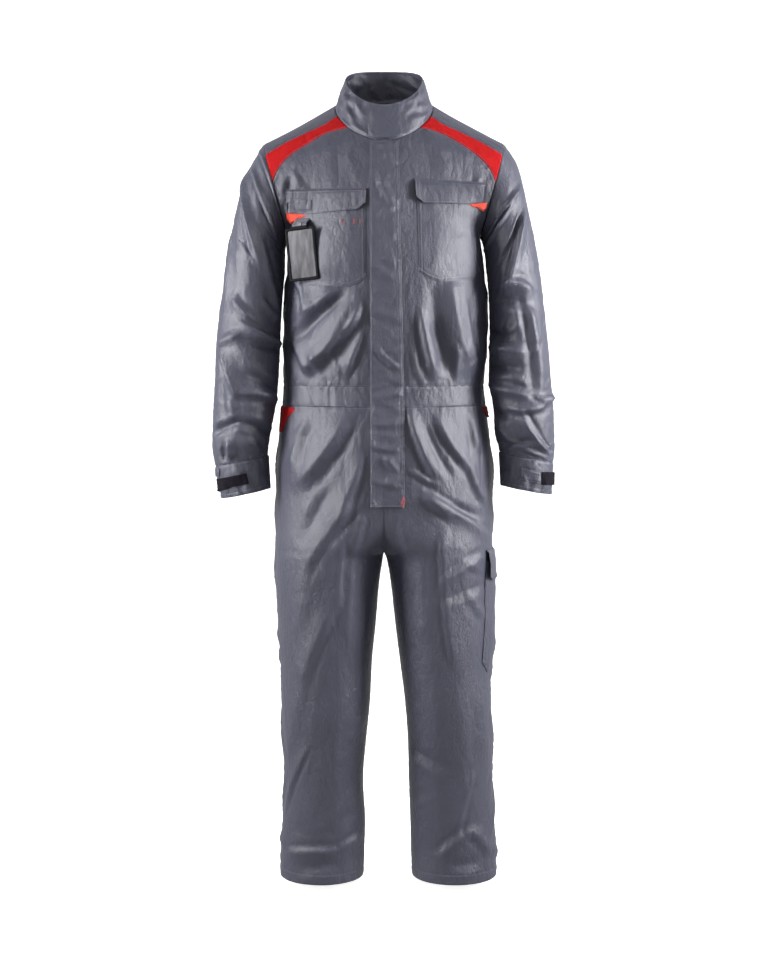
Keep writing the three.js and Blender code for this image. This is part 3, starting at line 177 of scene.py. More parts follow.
# The outer sides, seen from that side: the first length is front to back (Y).
SIDE_FOLDS = table(FOLD, [
    (-90, -300, 60, -370, 6, 12, 6, 0.2, 0), (80, -320, -40, -450, 8, 13, 6, 0.2, 0.2), (-50, -430, 60, -500, 5, 11, 5, 0, 0),
    (-60, -600, 30, -740, 6, 15, 6, 0.3, 0.2), (90, -610, 40, -760, 5, 13, 6, -0.3, 0.2), (-30, -760, 70, -860, 5, 12, 5, 0, 0),
    (60, -870, -40, -980, 6, 13, 5, 0.3, 0), (-60, -1010, 50, -1070, 4, 10, 5, 0, 0), (60, -1080, -50, -1120, 3, 9, 5, 0.2, 0),
    (-40, -1160, 40, -1300, 5, 13, 6, 0.2, 0.2), (40, -1320, -30, -1430, 4, 11, 5, 0.2, 0), (-50, -1450, 60, -1480, 4, 9, 5, 0, 0),
])
# Sleeves, laid flat: the first length runs round from the outer arm over the front, the second down the arm.
SLEEVE_FOLDS = {
    "R": table(FOLD, [
        (8, 20, 186, 0, 4, 7, 5, 0.3, 0), (31, 62, 157, 82, 4, 8, 5, 0.2, 0.2), (9, 80, 123, 225, 3, 12, 8, 0.3, 0.3),
        (125, 165, 221, 356, -4, 12, 5, 0, 0.3), (6, 216, 47, 334, -3, 14, 4, 0, 0),
        (97, 364, 235, 401, 3, 7, 7, -0.3, 0), (91, 398, 232, 412, 2, 8, -6, 0, 0), (38, 417, 100, 387, 0, 8, 6, 0, 0),
        (49, 428, 97, 504, 4, 10, 8, 0.4, 0), (97, 500, 234, 532, 6, 10, 7, 0.2, 0), (74, 462, 92, 552, 0, 12, 5, 0.2, 0),
        (118, 461, 207, 501, 0, 9, -5, 0, 0), (36, 578, 113, 564, 2, 8, -7, 0, 0), (113, 564, 225, 610, 3, 8, -7, 0, 0),
        (85, 599, 90, 650, 0, 9, 7, 0.2, 0), (125, 599, 181, 650, 0, 8, 4, 0, 0), (66, 615, 70, 650, 0, 6, -4, 0, 0),
        (143, 300, 196, 332, 0, 8, 4, 0, 0), (68, 330, 120, 351, 0, 9, 4, 0, 0)]),
    "L": table(FOLD, [
        (38, 107, 207, 46, -5, 6, 6, 0.3, 0), (71, 105, 237, 88, 4, 6, 6, -0.2, 0), (51, 148, 152, 200, -4, 7, -5, 0, 0),
        (61, 159, 140, 284, 3, 11, 8, -0.3, 0.2), (154, 255, 72, 315, -5, 9, 7, 0.2, 0),
        (165, 290, 69, 342, 0, 10, -5, 0, 0), (236, 356, 125, 387, 0, 10, -7, 0, 0),
        (235, 398, 98, 423, -3, 10, 6, 0.2, 0), (235, 447, 115, 453, 0, 10, -7, 0, 0),
        (93, 322, 70, 500, -4, 14, 7, -0.3, 0.2), (234, 488, 101, 508, -3, 9, 6, 0.2, 0),
        (86, 512, 8, 507, 3, 7, 6, 0, 0), (159, 537, 45, 515, 9, 8, 7, -0.2, 0), (129, 543, 52, 634, 5, 9, 7, 0.2, 0),
        (195, 567, 132, 624, 3, 10, 5, 0.2, 0), (218, 543, 160, 562, 0, 8, -5, 0, 0),
        (179, 636, 92, 599, -3, 7, -4, 0, 0), (124, 634, 63, 650, 0, 6, 4, 0, 0), (130, 308, 115, 376, 0, 9, 4, 0, 0)]),
}
SLEEVE_BACK_FOLDS = table(FOLD, [
    (-30, 60, -170, 120, 6, 11, 6, 0.2, 0), (-40, 150, -150, 240, 6, 12, 6, 0.3, 0.2), (-180, 200, -90, 330, 5, 12, 6, 0, 0),
    (-20, 330, -190, 380, 8, 9, 8, 0.2, 0), (-30, 390, -200, 420, -5, 8, -5, 0, 0), (-40, 420, -190, 470, 6, 9, 7, 0.2, 0),
    (-60, 480, -170, 560, 4, 11, 6, 0, 0), (-30, 560, -190, 610, 5, 8, 6, 0.2, 0), (-90, 600, -110, 648, 0, 8, 4, 0, 0),
])
PLACKET_FOLDS = table(FOLD, [
    (-16, -462, 26, -498, 2, 5, 2.6, 0.2, 0), (-20, -470, 20, -512, 0, 5, -1.6, 0, 0), (0, -670, 26, -700, 2, 5, 2.4, 0, 0),
    (-24, -610, 30, -606, 2, 6, 1.8, 0, 0), (-24, -652, 30, -660, 2, 5, 2.0, 0, 0), (-22, -300, 20, -330, 3, 7, 1.4, 0, 0),
    (-6, -130, 20, -190, 3, 7, 1.6, 0, 0), (-20, -230, 6, -285, 0, 8, 1.2, 0, 0), (-22, -390, 24, -400, 2, 6, 1.2, 0, 0),
    (-20, -720, 34, -735, -2, 6, 1.6, 0, 0), (-20, -560, 30, -548, 2, 6, 1.4, 0, 0), (4, -86, 22, -110, 2, 5, 1.6, 0, 0),
])
COLLAR_FOLDS = table(FOLD, [
    (-95, 60, -60, 20, 4, 7, 3.4, 0.2, 0), (-110, 40, -52, 48, -4, 6, 3.0, 0, 0), (-75, 30, -40, 5, 3, 6, 3, 0, 0),
    (-120, 22, -88, 4, 2, 6, 2.4, 0, 0), (-60, 62, -40, 34, 2, 6, 2.4, 0, 0), (60, 50, 110, 20, 5, 8, 3, 0.2, 0),
    (48, 30, 96, 8, 4, 7, 3, 0.2, 0), (50, 66, 90, 52, 2, 6, 2, 0, 0), (150, 60, 170, 10, 3, 12, 2.5, 0, 0),
    (-170, 55, -150, 12, 3, 12, 2.5, 0, 0), (-215, 40, -200, 8, 0, 10, 2, 0, 0), (215, 45, 200, 10, 0, 10, 2, 0, 0),
])

POCKET = {
    "R": [(-184, -186), (-35, -186), (-35, -326), (-48, -337), (-69, -345), (-150, -342), (-172, -328)],
    "L": [(63, -177), (190, -180), (186, -314), (174, -330), (108, -336), (85, -328), (68, -315)],
}
FLAP = {
    "R": [(-190, -155), (-34, -155), (-34, -184), (-50, -198), (-138, -203), (-190, -199)],
    "L": [(59, -137), (200, -142), (200, -178), (158, -184), (75, -184), (60, -172)],
}
WEDGE = {
    "R": [(-190, -200.4), (-139, -204.2), (-174, -213), (-182, -220), (-189, -211)],
    "L": [(159, -185), (200, -180), (199, -190), (193, -197), (175, -189)],
}
FACING = {
    "R": [(-205, -580), (-175, -580), (-175, -585), (-189, -600), (-201, -630), (-208, -630)],
    "L": [(205, -580), (194, -580), (197, -588), (204, -602), (209, -602)],
}
HOOK = {
    "R": [(-330, -722), (-297, -714), (-270, -709), (-266, -729), (-295, -735), (-330, -748)],
    "L": [(309, -706), (338, -709), (338, -735), (309, -731)],
}
TAB = {
    "R": [(-333, -702), (-323, -700), (-323, -716), (-333, -718)],
    "L": [(270, -697), (308, -706), (308, -730), (270, -722)],
}
THIGH = dict(front=-70, back=108, top=-862, flap=-912, bottom=-1108, corner=22)

# ---------------------------------------------------------------- helpers
SIGN = {"R": -1.0, "L": 1.0}


def curve(tab, key, col):
    """Smooth curve through one column of a table, without overshoot."""
    order = np.argsort(tab[key])
    x, y = tab[key][order], tab[col][order]
    h = np.diff(x)
    d = np.diff(y) / h
    m = np.zeros_like(y)
    m[0], m[-1] = d[0], d[-1]
    both = d[:-1] * d[1:] > 0
    m[1:-1][both] = 2 * d[:-1][both] * d[1:][both] / (d[:-1][both] + d[1:][both])

    def at(v):
        q = np.clip(np.asarray(v, float), x[0], x[-1])
        i = np.clip(np.searchsorted(x, q, side="right") - 1, 0, len(x) - 2)
        t = (q - x[i]) / h[i]
        t2, t3 = t * t, t * t * t
        return (y[i] * (2 * t3 - 3 * t2 + 1) + m[i] * h[i] * (t3 - 2 * t2 + t)
                + y[i + 1] * (3 * t2 - 2 * t3) + m[i + 1] * h[i] * (t3 - t2))
    return at


def curves(tab, key):
    return {c: curve(tab, key, c) for c in tab if c != key}


def lerp(a, b, t):
    return a + (b - a) * t


def smooth(t):
    t = np.clip(t, 0, 1)
    return t * t * (3 - 2 * t)


def unit(v):
    return v / np.maximum(np.linalg.norm(v, axis=-1, keepdims=True), 1e-12)


def ticks(length, lo=True, hi=True, step=None):
    """Shares 0..1 of a length, closer together beside its seams."""
    step = step or STEP
    a = EDGE if lo else [0.0]
    b = EDGE if hi else [0.0]
    if length < a[-1] + b[-1] + step:
        n = max(4, int(round(length / min(step, 1.6))))
        return np.linspace(0, 1, n + 1)
    n = max(2, int(round((length - a[-1] - b[-1]) / step)))
    inner = np.linspace(a[-1], length - b[-1], n + 1)
    return np.unique(np.round(np.concatenate([a, inner, [length - e for e in b]]), 6)) / length


body, chest, spread = curves(BODY, "z"), curves(CHEST, "w"), curve(SPREAD, "z", "deg")
leg = {s: curves(LEG[s], "z") for s in "RL"}
arm = {s: curves(SLEEVE[s], "k") for s in "RL"}


# ---------------------------------------------------------------- surfaces of the garment
def ring_point(size, rise, deg):
    a = np.radians(np.asarray(deg, float))
    depth = np.where(np.cos(a) > 0, size["front"], size["back"])
    z = rise[0] + rise[1] * np.cos(a) + rise[2] * np.cos(2 * a)
    return np.stack([size["half"] * np.sin(a), size["mid"] - depth * np.cos(a), z], -1)


def neck_point(deg):
    return ring_point(NECK, NECK_RISE, deg)


def collar_point(deg, h):
    deg, h = np.broadcast_arrays(np.asarray(deg, float), np.asarray(h, float))
    h = h[..., None]
    return neck_point(deg) * (1 - h) + ring_point(RIM, RIM_RISE, deg) * h


def sleeve_point(side, k, deg):
    k, deg = np.broadcast_arrays(np.asarray(k, float), np.asarray(deg, float))
    c, a = arm[side], np.radians(deg)
    ox, oz, ix, iz = c["outX"](k), c["outZ"](k), c["innX"](k), c["innZ"](k)
    depth = np.where(np.sin(a) > 0, c["front"](k), c["back"](k))
    return np.stack([SIGN[side] * ((ox + ix) / 2 + (ox - ix) / 2 * np.cos(a)),
                     c["mid"](k) - depth * np.sin(a), (oz + iz) / 2 + (oz - iz) / 2 * np.cos(a)], -1)


CENTRE_RISE = {
    "front": curve(table("t y", [(0, 0), (0.45, 0.3), (0.75, 0.64), (1, 1)]), "t", "y"),
    "back": curve(table("t y", [(0, 0), (0.45, -0.06), (0.75, 0.22), (1, 1)]), "t", "y"),
}


def body_point(side, face, u, V):
    """u from the centre line or neck seam (0) to the side seam or armhole (1); V from the waist seam (0)
    over the underarm (1) to the shoulder ridge (2)."""
    u, V = np.broadcast_arrays(np.asarray(u, float), np.asarray(V, float))
    way = -1.0 if face == "front" else 1.0
    low = V <= 1
    z = lerp(WAIST_SEAM, UNDERARM, np.clip(V, 0, 1))
    half = body["right" if side == "R" else "left"](z)
    dep_low = body[face](z)
    w = np.clip(V - 1, 0, 0.9995)
    dep_up, mid_up = chest[face](w), 5 * smooth(w)
    o = sleeve_point("L", 0.0 * w, (1 if face == "front" else -1) * 180 * (1 - w))
    end = neck_point(0.0 if face == "front" else 180.0)
    t = np.clip(w / NECK_SHARE, 0, 1)
    y0 = way * float(chest[face](0.0))
    line = np.stack([0 * w, lerp(y0, end[1], CENTRE_RISE[face](t)), lerp(UNDERARM, end[2], t)], -1)
    q = 90 * np.clip((w - NECK_SHARE) / (1 - NECK_SHARE), 0, 1)
    on_neck = neck_point(q if face == "front" else 180 - q)
    I = np.where((w < NECK_SHARE)[..., None], line, on_neck)
    Ix, Iy, Iz = np.where(low, 0, I[..., 0]), np.where(low, way * dep_low, I[..., 1]), np.where(low, z, I[..., 2])
    Ox, Oy, Oz = np.where(low, half, np.abs(o[..., 0])), np.where(low, 0, o[..., 1]), np.where(low, z, o[..., 2])
    mid, dep = np.where(low, 0, mid_up), np.where(low, dep_low, dep_up)
    n = BODY_POWER
    dI, dO = np.maximum(0, way * (Iy - mid)), np.maximum(0, way * (Oy - mid))
    B = np.maximum.reduce([dep, dI * 1.0005, dO * 1.0005, np.full_like(dep, 0.05)])
    a0, a1 = np.arccos(np.clip(dI / B, 0, 1) ** (n / 2)), np.arccos(np.clip(dO / B, 0, 1) ** (n / 2))
    a = lerp(a0, a1, u)
    s = lambda v: np.maximum(0, np.sin(v)) ** (2 / n)
    span = s(a1) - s(a0)
    flat = np.abs(span) < 1e-4
    g = np.where(flat, u, (s(a) - s(a0)) / np.where(flat, 1, span))
    y = mid + way * B * np.maximum(0, np.cos(a)) ** (2 / n)
    return np.stack([SIGN[side] * lerp(Ix, Ox, g), y, lerp(Iz, Oz, g)], -1)


def leg_point(side, face, t, z):
    """t from the outer seam (0) to the centre or inner seam (1)."""
    t, z = np.broadcast_arrays(np.asarray(t, float), np.asarray(z, float))
    c = leg[side]
    o, i, p = c["out"](z), c["inn"](z), 2 / c["power"](z)
    mid, a = (o + i) / 2, (o - i) / 2
    close = np.where(i >= 0, np.pi, np.arccos(-np.clip(mid / a, 0, 1) ** (1 / p)))
    wide = np.radians(spread(z))
    ang = wide * t + (close - wide) * t ** 3
    cs = np.cos(ang)
    x = mid + a * np.sign(cs) * np.abs(cs) ** p
    x = np.where((t >= 1) & (i < 0), 0, x)
    way = -1.0 if face == "front" else 1.0
    y = c["mid"](z) + way * c[face](z) * np.maximum(0, np.sin(ang)) ** p
    return np.stack([SIGN[side] * x, y, z + 0 * x], -1)


def normals(P, hint):
    """Normals of a grid of points, away from the point hint, and whether the grid runs the other way."""
    n = np.cross(np.gradient(P, axis=1), np.gradient(P, axis=0))
    bad = np.linalg.norm(n, axis=-1) < 1e-9
    n = unit(n)
    if bad.any():
        for _ in range(3):
            n[bad] = np.roll(n, -1, 0)[bad]
            n[bad] += np.roll(n, 1, 0)[bad]
        n = unit(n)
    turned = float(np.sum(n * (P - np.asarray(hint)))) < 0
    return (-n if turned else n), turned


# ---------------------------------------------------------------- folds
def fold_sum(tab, x, z):
    out = np.zeros(np.broadcast(x, z).shape)
    x, z = x + 0 * out, z + 0 * out
    for x0, z0, x1, z1, bow, wide, high, skew, flare in zip(*(tab[c] for c in FOLD.split())):
        dx, dz = x1 - x0, z1 - z0
        L = math.hypot(dx, dz)
        t = ((x - x0) * dx + (z - z0) * dz) / (L * L)
        q = ((x - x0) * dz - (z - z0) * dx) / L - 4 * bow * np.clip(t, 0, 1) * (1 - np.clip(t, 0, 1))
        near = (t > -0.25) & (t < 1.25) & (np.abs(q) < 5 * wide)
        if not near.any():
            continue
        tt, qq = t[near], q[near]
        w = wide * np.clip(1 + flare * (tt - 0.5), 0.35, 2) * 1.12
        side = w * np.where(qq > 0, 1 + skew, 1 - skew)
        crest = np.exp(-np.maximum(np.sqrt((qq / side) ** 2 + 0.005) - 0.0707, 0) ** 1.2)
        steep = np.where(qq * (-skew if skew else 1) > 0, 0.42, 0.12)
        valley = np.exp(-((np.abs(qq) - 1.75 * side) / (0.8 * side)) ** 2)
        ends = smooth((tt + 0.16) / 0.42) * smooth((1.16 - tt) / 0.42)
        out[near] += FOLD_SCALE * high * (crest - steep * valley) * ends
    return out


def small_creases(seed, count, x_range, z_range, lean, size):
    """A table of many small creases, the same each time."""
    rng = np.random.default_rng(seed)
    rows = []
    for _ in range(count):
        x, z = rng.uniform(*x_range), rng.uniform(*z_range)
        a, L = rng.normal(lean, 0.5), rng.uniform(22, 75)
        rows.append((x, z, x + L * math.cos(a), z + L * math.sin(a), rng.normal(0, 3), rng.uniform(3.5, 8),
                     size * rng.uniform(0.35, 1) * (1 if rng.random() < 0.65 else -1), rng.uniform(-0.4, 0.4), 0))
    return table(FOLD, rows)


SMALL_FRONT = small_creases(11, 90, (-200, 200), (-1520, -60), 1.35, 1.5)
SMALL_BACK = small_creases(12, 90, (-200, 200), (-1520, -60), 1.2, 1.6)
SMALL_SIDE = small_creases(13, 50, (-120, 120), (-1520, -280), 1.1, 1.5)
SMALL_PLACKET = small_creases(16, 60, (-26, 34), (-760, -70), 0.3, 1.3)
SMALL_CUFF = small_creases(18, 34, (-170, 170), (655, 715), 1.2, 1.5)
SMALL_COLLAR = small_creases(17, 60, (-250, 250), (-10, 60), 1.1, 1.5)
SMALL_SLEEVE = {s: small_creases(n, 60, (-230, 230), (20, 640), 0.2, 1.5) for s, n in (("R", 14), ("L", 15))}


def swell(x, z, seed, size):
    """Slow uneven swell of hanging cloth."""
    rng = np.random.default_rng(seed)
    out = np.zeros(np.broadcast(x, z).shape)
    for _ in range(8):
        a, k = rng.uniform(0, 2 * np.pi), 2 * np.pi / rng.uniform(80, 200)
        out += np.sin(k * (x * np.cos(a) * 1.5 + z * np.sin(a) * 0.6) + rng.uniform(0, 6.3)) / 8
    return size * out


def gathers(x, z, back):
    """Short upright ripples that the waist elastic makes."""
    band = smooth((z - (WAIST_SEAM - 30)) / 26) * smooth((WAIST_TOP + 40 - z) / 36)
    core = smooth((z - WAIST_SEAM) / 6) * smooth((WAIST_TOP - z) / 6)
    where = 1.0 if back else smooth((np.abs(x) - 44) / 22)
    seam = np.exp(-np.abs(z - WAIST_SEAM) / 16.0) + np.exp(-np.abs(z - WAIST_TOP) / 16.0)
    a = np.sin(x / 2.3 + 1.7 * np.sin(x / 13.0) + z / 30) + 0.6 * np.sin(x / 1.7 + 2.2 * np.sin(x / 21.0) + 1)
    b = np.sin(x / 5.2 + 1.4 * np.sin(x / 19.0) + z / 80)
    return where * (core * seam * 0.42 * a * (1.5 if back else 1) + band * 0.34 * b * (2.2 if back else 1))


def body_folds(P, face, mid=0.0):
    x, y, z = P[..., 0], P[..., 1], P[..., 2]
    f = face == "front"
    quiet = np.where(z > -790, smooth((np.abs(x) - 30) / 26), 1.0) if f else 1.0    # under the placket
    near = smooth((np.abs(y - mid) - 6) / 40)
    h = (fold_sum(FRONT_FOLDS if f else BACK_FOLDS, x, z) + fold_sum(SMALL_FRONT if f else SMALL_BACK, x, z)) * quiet
    pocket_calm = 1 - 0.75 * smooth((z + 345) / 20) * smooth((-150 - z) / 20) if f else 1.0
    h = h * pocket_calm * (1 - 0.12 * smooth((-570 - z) / 60)) * (1 - 0.5 * smooth((-760 - z) / 90)) * (1 - 0.4 * smooth((z + 150) / 20)) + swell(x, z, 3 if f else 5, 1.2)
    flank = smooth((46 - np.abs(y - mid)) / 40) * smooth((-250 - z) / 30)
    side = (fold_sum(SIDE_FOLDS, y * np.sign(x + 1e-9), z + 12 * np.sign(x)) + fold_sum(SMALL_SIDE, y * np.sign(x + 1e-9), z)) * flank
    side = side * smooth((np.abs(x) - 150) / 30)
    return h * near + side * 0.45 + gathers(x, z, not f) * smooth((np.abs(y) - 2) / 10)


def sleeve_folds(side, k, deg):
    k, deg = np.broadcast_arrays(np.asarray(k, float), np.asarray(deg, float))
    a, s = deg * 1.28, k * 60.0
    f, b = smooth((np.sin(np.radians(deg)) + 0.25) / 0.4), smooth((0.15 - np.sin(np.radians(deg))) / 0.4)
    h = fold_sum(SLEEVE_FOLDS[side], a, s) * f + fold_sum(SLEEVE_BACK_FOLDS, a, s + 10 * SIGN[side]) * b
    h = (h + fold_sum(SMALL_SLEEVE[side], a, s)) * (1 - 0.6 * np.exp(-(np.sin(np.radians(deg)) / 0.3) ** 2))     # calm beside the seams
    return h * smooth((k + 0.1) / 0.5) * smooth((11.1 - k) / 0.5) + swell(a, s, 7 if side == "R" else 8, 2.0) * smooth(k / 1.0) * smooth((12 - k) / 1.5)


# ---------------------------------------------------------------- finishes
def node_tree(name):
    m = bpy.data.materials.new(name)
    m.use_nodes = True
    nt = m.node_tree
    for n in list(nt.nodes):
        nt.nodes.remove(n)
    out = nt.nodes.new("ShaderNodeOutputMaterial")
    bsdf = nt.nodes.new("ShaderNodeBsdfPrincipled")
    nt.links.new(bsdf.outputs["BSDF"], out.inputs["Surface"])
    return m, nt, bsdf


def math_node(nt, kind, a, b=None, clamp=False):
    n = nt.nodes.new("ShaderNodeMath")
    n.operation = kind
    n.use_clamp = clamp
    for i, v in enumerate((a, b)):
        if v is None:
            continue
        if isinstance(v, (int, float)):
            n.inputs[i].default_value = v
        else:
            nt.links.new(v, n.inputs[i])
    return n.outputs[0]


def noise_node(nt, vec, scale, detail=3.0, rough=0.55):
    n = nt.nodes.new("ShaderNodeTexNoise")
    n.inputs["Scale"].default_value = scale
    n.inputs["Detail"].default_value = detail
    n.inputs["Roughness"].default_value = rough
    if vec is not None:
        nt.links.new(vec, n.inputs["Vector"])
    return n.outputs["Fac"]


def blend_color(nt, fac, dark, light):
    n = nt.nodes.new("ShaderNodeValToRGB")
    e = n.color_ramp.elements
    e[0].position, e[1].position = 0.25, 0.75
    e[0].color, e[1].color = (*dark, 1), (*light, 1)
    nt.links.new(fac, n.inputs["Fac"])
    return n.outputs["Color"]


def twill(name, color, vary=0.10, rough=0.52, sheen=0.35, sheen_tint=(1, 1, 1), pitch=0.0011, bump=0.35, specular=0.42, creased=1.0):
    """Cotton and polyester twill: slanting ribs, cross yarns, heather, soft gloss."""
    m, nt, b = node_tree(name)
    cut = nt.nodes.new("ShaderNodeAttribute")
    cut.attribute_name = "cut"
    sep = nt.nodes.new("ShaderNodeSeparateXYZ")
    nt.links.new(cut.outputs["Vector"], sep.inputs[0])
    x, y = sep.outputs["X"], sep.outputs["Y"]
    diag = math_node(nt, "ADD", math_node(nt, "MULTIPLY", x, 0.62), math_node(nt, "MULTIPLY", y, 0.78))
    wobble = math_node(nt, "MULTIPLY", noise_node(nt, cut.outputs["Vector"], 90.0, 2.0), 0.0006)
    rib = math_node(nt, "SINE", math_node(nt, "MULTIPLY", math_node(nt, "ADD", diag, wobble), 2 * math.pi / pitch))
    yarn = math_node(nt, "SINE", math_node(nt, "MULTIPLY", x, 2 * math.pi / (pitch * 0.55)))
    weave = math_node(nt, "ADD", math_node(nt, "MULTIPLY", rib, 0.5), math_node(nt, "MULTIPLY", yarn, 0.18))
    obj = nt.nodes.new("ShaderNodeTexCoord")
    cloud = noise_node(nt, obj.outputs["Object"], 9.0, 4.0, 0.6)
    grain = noise_node(nt, cut.outputs["Vector"], 900.0, 3.0, 0.7)
    slub = noise_node(nt, obj.outputs["Object"], 140.0, 3.0, 0.6)
    mix = math_node(nt, "ADD", math_node(nt, "MULTIPLY", cloud, 0.45),
                    math_node(nt, "ADD", math_node(nt, "MULTIPLY", grain, 0.3), math_node(nt, "MULTIPLY", slub, 0.25)))
    mix = math_node(nt, "ADD", mix, math_node(nt, "MULTIPLY", weave, 0.06))
    dark = tuple(c * (1 - vary) for c in color)
    light = tuple(c * (1 + vary) for c in color)
    nt.links.new(blend_color(nt, mix, dark, light), b.inputs["Base Color"])
    r = math_node(nt, "ADD", math_node(nt, "MULTIPLY", slub, 0.12), rough - 0.06)
    nt.links.new(r, b.inputs["Roughness"])
    b.inputs["Specular IOR Level"].default_value = specular
    b.inputs["Sheen Weight"].default_value = sheen
    b.inputs["Sheen Roughness"].default_value = 0.38
    b.inputs["Sheen Tint"].default_value = (*sheen_tint, 1)
    bp = nt.nodes.new("ShaderNodeBump")
    bp.inputs["Strength"].default_value = bump
    bp.inputs["Distance"].default_value = 0.00035
    nt.links.new(math_node(nt, "ADD", weave, math_node(nt, "MULTIPLY", grain, 0.5)), bp.inputs["Height"])
    last = None
    for scale, stretch, strength, depth in ((24.0, (1.0, 1.0, 0.42), 0.5, 0.0034), (62.0, (1.0, 1.0, 0.6), 0.5, 0.0016), (150.0, (1.0, 1.0, 0.8), 0.5, 0.0007)):
        place = nt.nodes.new("ShaderNodeMapping")
        place.inputs["Scale"].default_value = stretch
        place.inputs["Rotation"].default_value = (0.0, 0.35, 0.0)
        nt.links.new(obj.outputs["Object"], place.inputs["Vector"])
        n = noise_node(nt, place.outputs["Vector"], scale, 2.0, 0.5)
        ridge = math_node(nt, "POWER", math_node(nt, "ABSOLUTE", math_node(nt, "MULTIPLY", math_node(nt, "SUBTRACT", n, 0.5), 2.4)), 0.8)
        wide = nt.nodes.new("ShaderNodeBump")
        wide.inputs["Strength"].default_value = strength * creased
        wide.inputs["Distance"].default_value = depth
        nt.links.new(ridge, wide.inputs["Height"])
        if last is not None:
            nt.links.new(last.outputs["Normal"], wide.inputs["Normal"])
        last = wide
    nt.links.new(last.outputs["Normal"], bp.inputs["Normal"])
    nt.links.new(bp.outputs["Normal"], b.inputs["Normal"])
    return m


def rough_plain(name, dark, light, scale, rough, bump, distance=0.0004, specular=0.4, sheen=0.0, tall=1.0):
    m, nt, b = node_tree(name)
    obj = nt.nodes.new("ShaderNodeTexCoord")
    place = nt.nodes.new("ShaderNodeMapping")
    place.inputs["Scale"].default_value = (1.0, 1.0, tall)
    nt.links.new(obj.outputs["Object"], place.inputs["Vector"])
    n1 = noise_node(nt, place.outputs["Vector"], scale, 4.0, 0.65)
    nt.links.new(blend_color(nt, n1, dark, light), b.inputs["Base Color"])
    nt.links.new(math_node(nt, "ADD", math_node(nt, "MULTIPLY", n1, 0.15), rough - 0.07), b.inputs["Roughness"])
    b.inputs["Specular IOR Level"].default_value = specular
    b.inputs["Sheen Weight"].default_value = sheen
    bp = nt.nodes.new("ShaderNodeBump")
    bp.inputs["Strength"].default_value = bump
    bp.inputs["Distance"].default_value = distance
    nt.links.new(noise_node(nt, obj.outputs["Object"], scale * 2.3, 3.0, 0.6), bp.inputs["Height"])
    nt.links.new(bp.outputs["Normal"], b.inputs["Normal"])
    return m


GREY = (0.038, 0.039, 0.060)
MATERIALS = {
    "twill": twill("grey_twill", GREY, 0.12, 0.455, 0.05, (0.9, 0.92, 1.0), specular=0.54, creased=0.95),
    "insert": twill("red_twill", (0.32, 0.009, 0.010), 0.2, 0.7, 0.0, (1, 0.7, 0.6), pitch=0.0013, bump=0.45, specular=0.03),
    "accent": twill("orange_red_twill", (0.60, 0.075, 0.050), 0.16, 0.7, 0.0, (1, 0.8, 0.7), bump=0.4, specular=0.1),
    "facing": twill("deep_red_twill", (0.34, 0.012, 0.014), 0.18, 0.7, 0.0, (1, 0.7, 0.7), bump=0.4, specular=0.04),
    "webbing": twill("grey_webbing", (0.085, 0.088, 0.115), 0.2, 0.6, 0.2, (1, 1, 1), pitch=0.0022, bump=0.8),
    "hook": rough_plain("black_hook_tape", (0.004, 0.0035, 0.005), (0.014, 0.012, 0.018), 900.0, 0.9, 0.9, 0.0012, 0.08, 0.0),
    "frame": rough_plain("dark_frame_plastic", (0.004, 0.004, 0.005), (0.010, 0.010, 0.012), 220.0, 0.6, 0.25, 0.0002, 0.05),
    "thread": rough_plain("grey_thread", (0.085, 0.088, 0.120), (0.130, 0.134, 0.175), 700.0, 0.5, 0.3, 0.0002, 0.4),
    "red_thread": rough_plain("red_thread", (0.28, 0.03, 0.03), (0.50, 0.06, 0.055), 700.0, 0.55, 0.3, 0.0002, 0.3),
    # window_back: its own dark tint, with vertical light grey streaks that are painted reflection of the clear window
    "window_back": rough_plain("window_back_painted_reflection_streaks", (0.014, 0.014, 0.017), (0.20, 0.195, 0.215), 62.0, 0.45, 0.1, 0.0002, 0.4, 0.0, 0.22),
    "steel": rough_plain("dark_snap_metal", (0.05, 0.05, 0.055), (0.10, 0.10, 0.11), 300.0, 0.3, 0.15, 0.0002, 0.6),
}
# the front film is opaque, near black with vertical light grey streaks: painted reflection streaks standing in for the
# clear window's gloss
MATERIALS["film"] = rough_plain("clear_film_painted_reflection_streaks", (0.008, 0.008, 0.010), (0.17, 0.165, 0.185), 55.0, 0.42, 0.06, 0.0002, 0.22, 0.0, 0.2)


# ---------------------------------------------------------------- meshes
MADE = []
STITCHED = {"thread": [], "red_thread": []}
FRONT_GRIDS, LEFT_SIDE_GRIDS, CUFF_GRIDS = [], [], {"R": [], "L": []}


def mesh_object(name, V, F, material, cut=None, smoothing=True):
    """A mesh from points in millimetres and quads."""
    me = bpy.data.meshes.new(name)
    me.vertices.add(len(V))
    me.vertices.foreach_set("co", (V / 1000.0).ravel())
    n = F.shape[1]
    me.loops.add(F.size)
    me.loops.foreach_set("vertex_index", F.ravel().astype(np.int32))
    me.polygons.add(len(F))
    me.polygons.foreach_set("loop_start", np.arange(0, F.size, n, dtype=np.int32))
    me.polygons.foreach_set("loop_total", np.full(len(F), n, dtype=np.int32))
    me.polygons.foreach_set("use_smooth", np.full(len(F), smoothing, dtype=bool))
    me.update(calc_edges=True)
    if cut is not None:
        at = me.attributes.new("cut", "FLOAT_VECTOR", "POINT")
        at.data.foreach_set("vector", (np.concatenate([cut, np.zeros((len(cut), 1))], 1) / 1000.0).ravel())
    me.materials.append(MATERIALS[material])
    ob = bpy.data.objects.new(name, me)
    bpy.context.collection.objects.link(ob)
    return ob


def finish_piece(ob, replaces=()):
    for node in replaces:
        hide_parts(node)
    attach(ob, "root")
    MADE.append(ob)


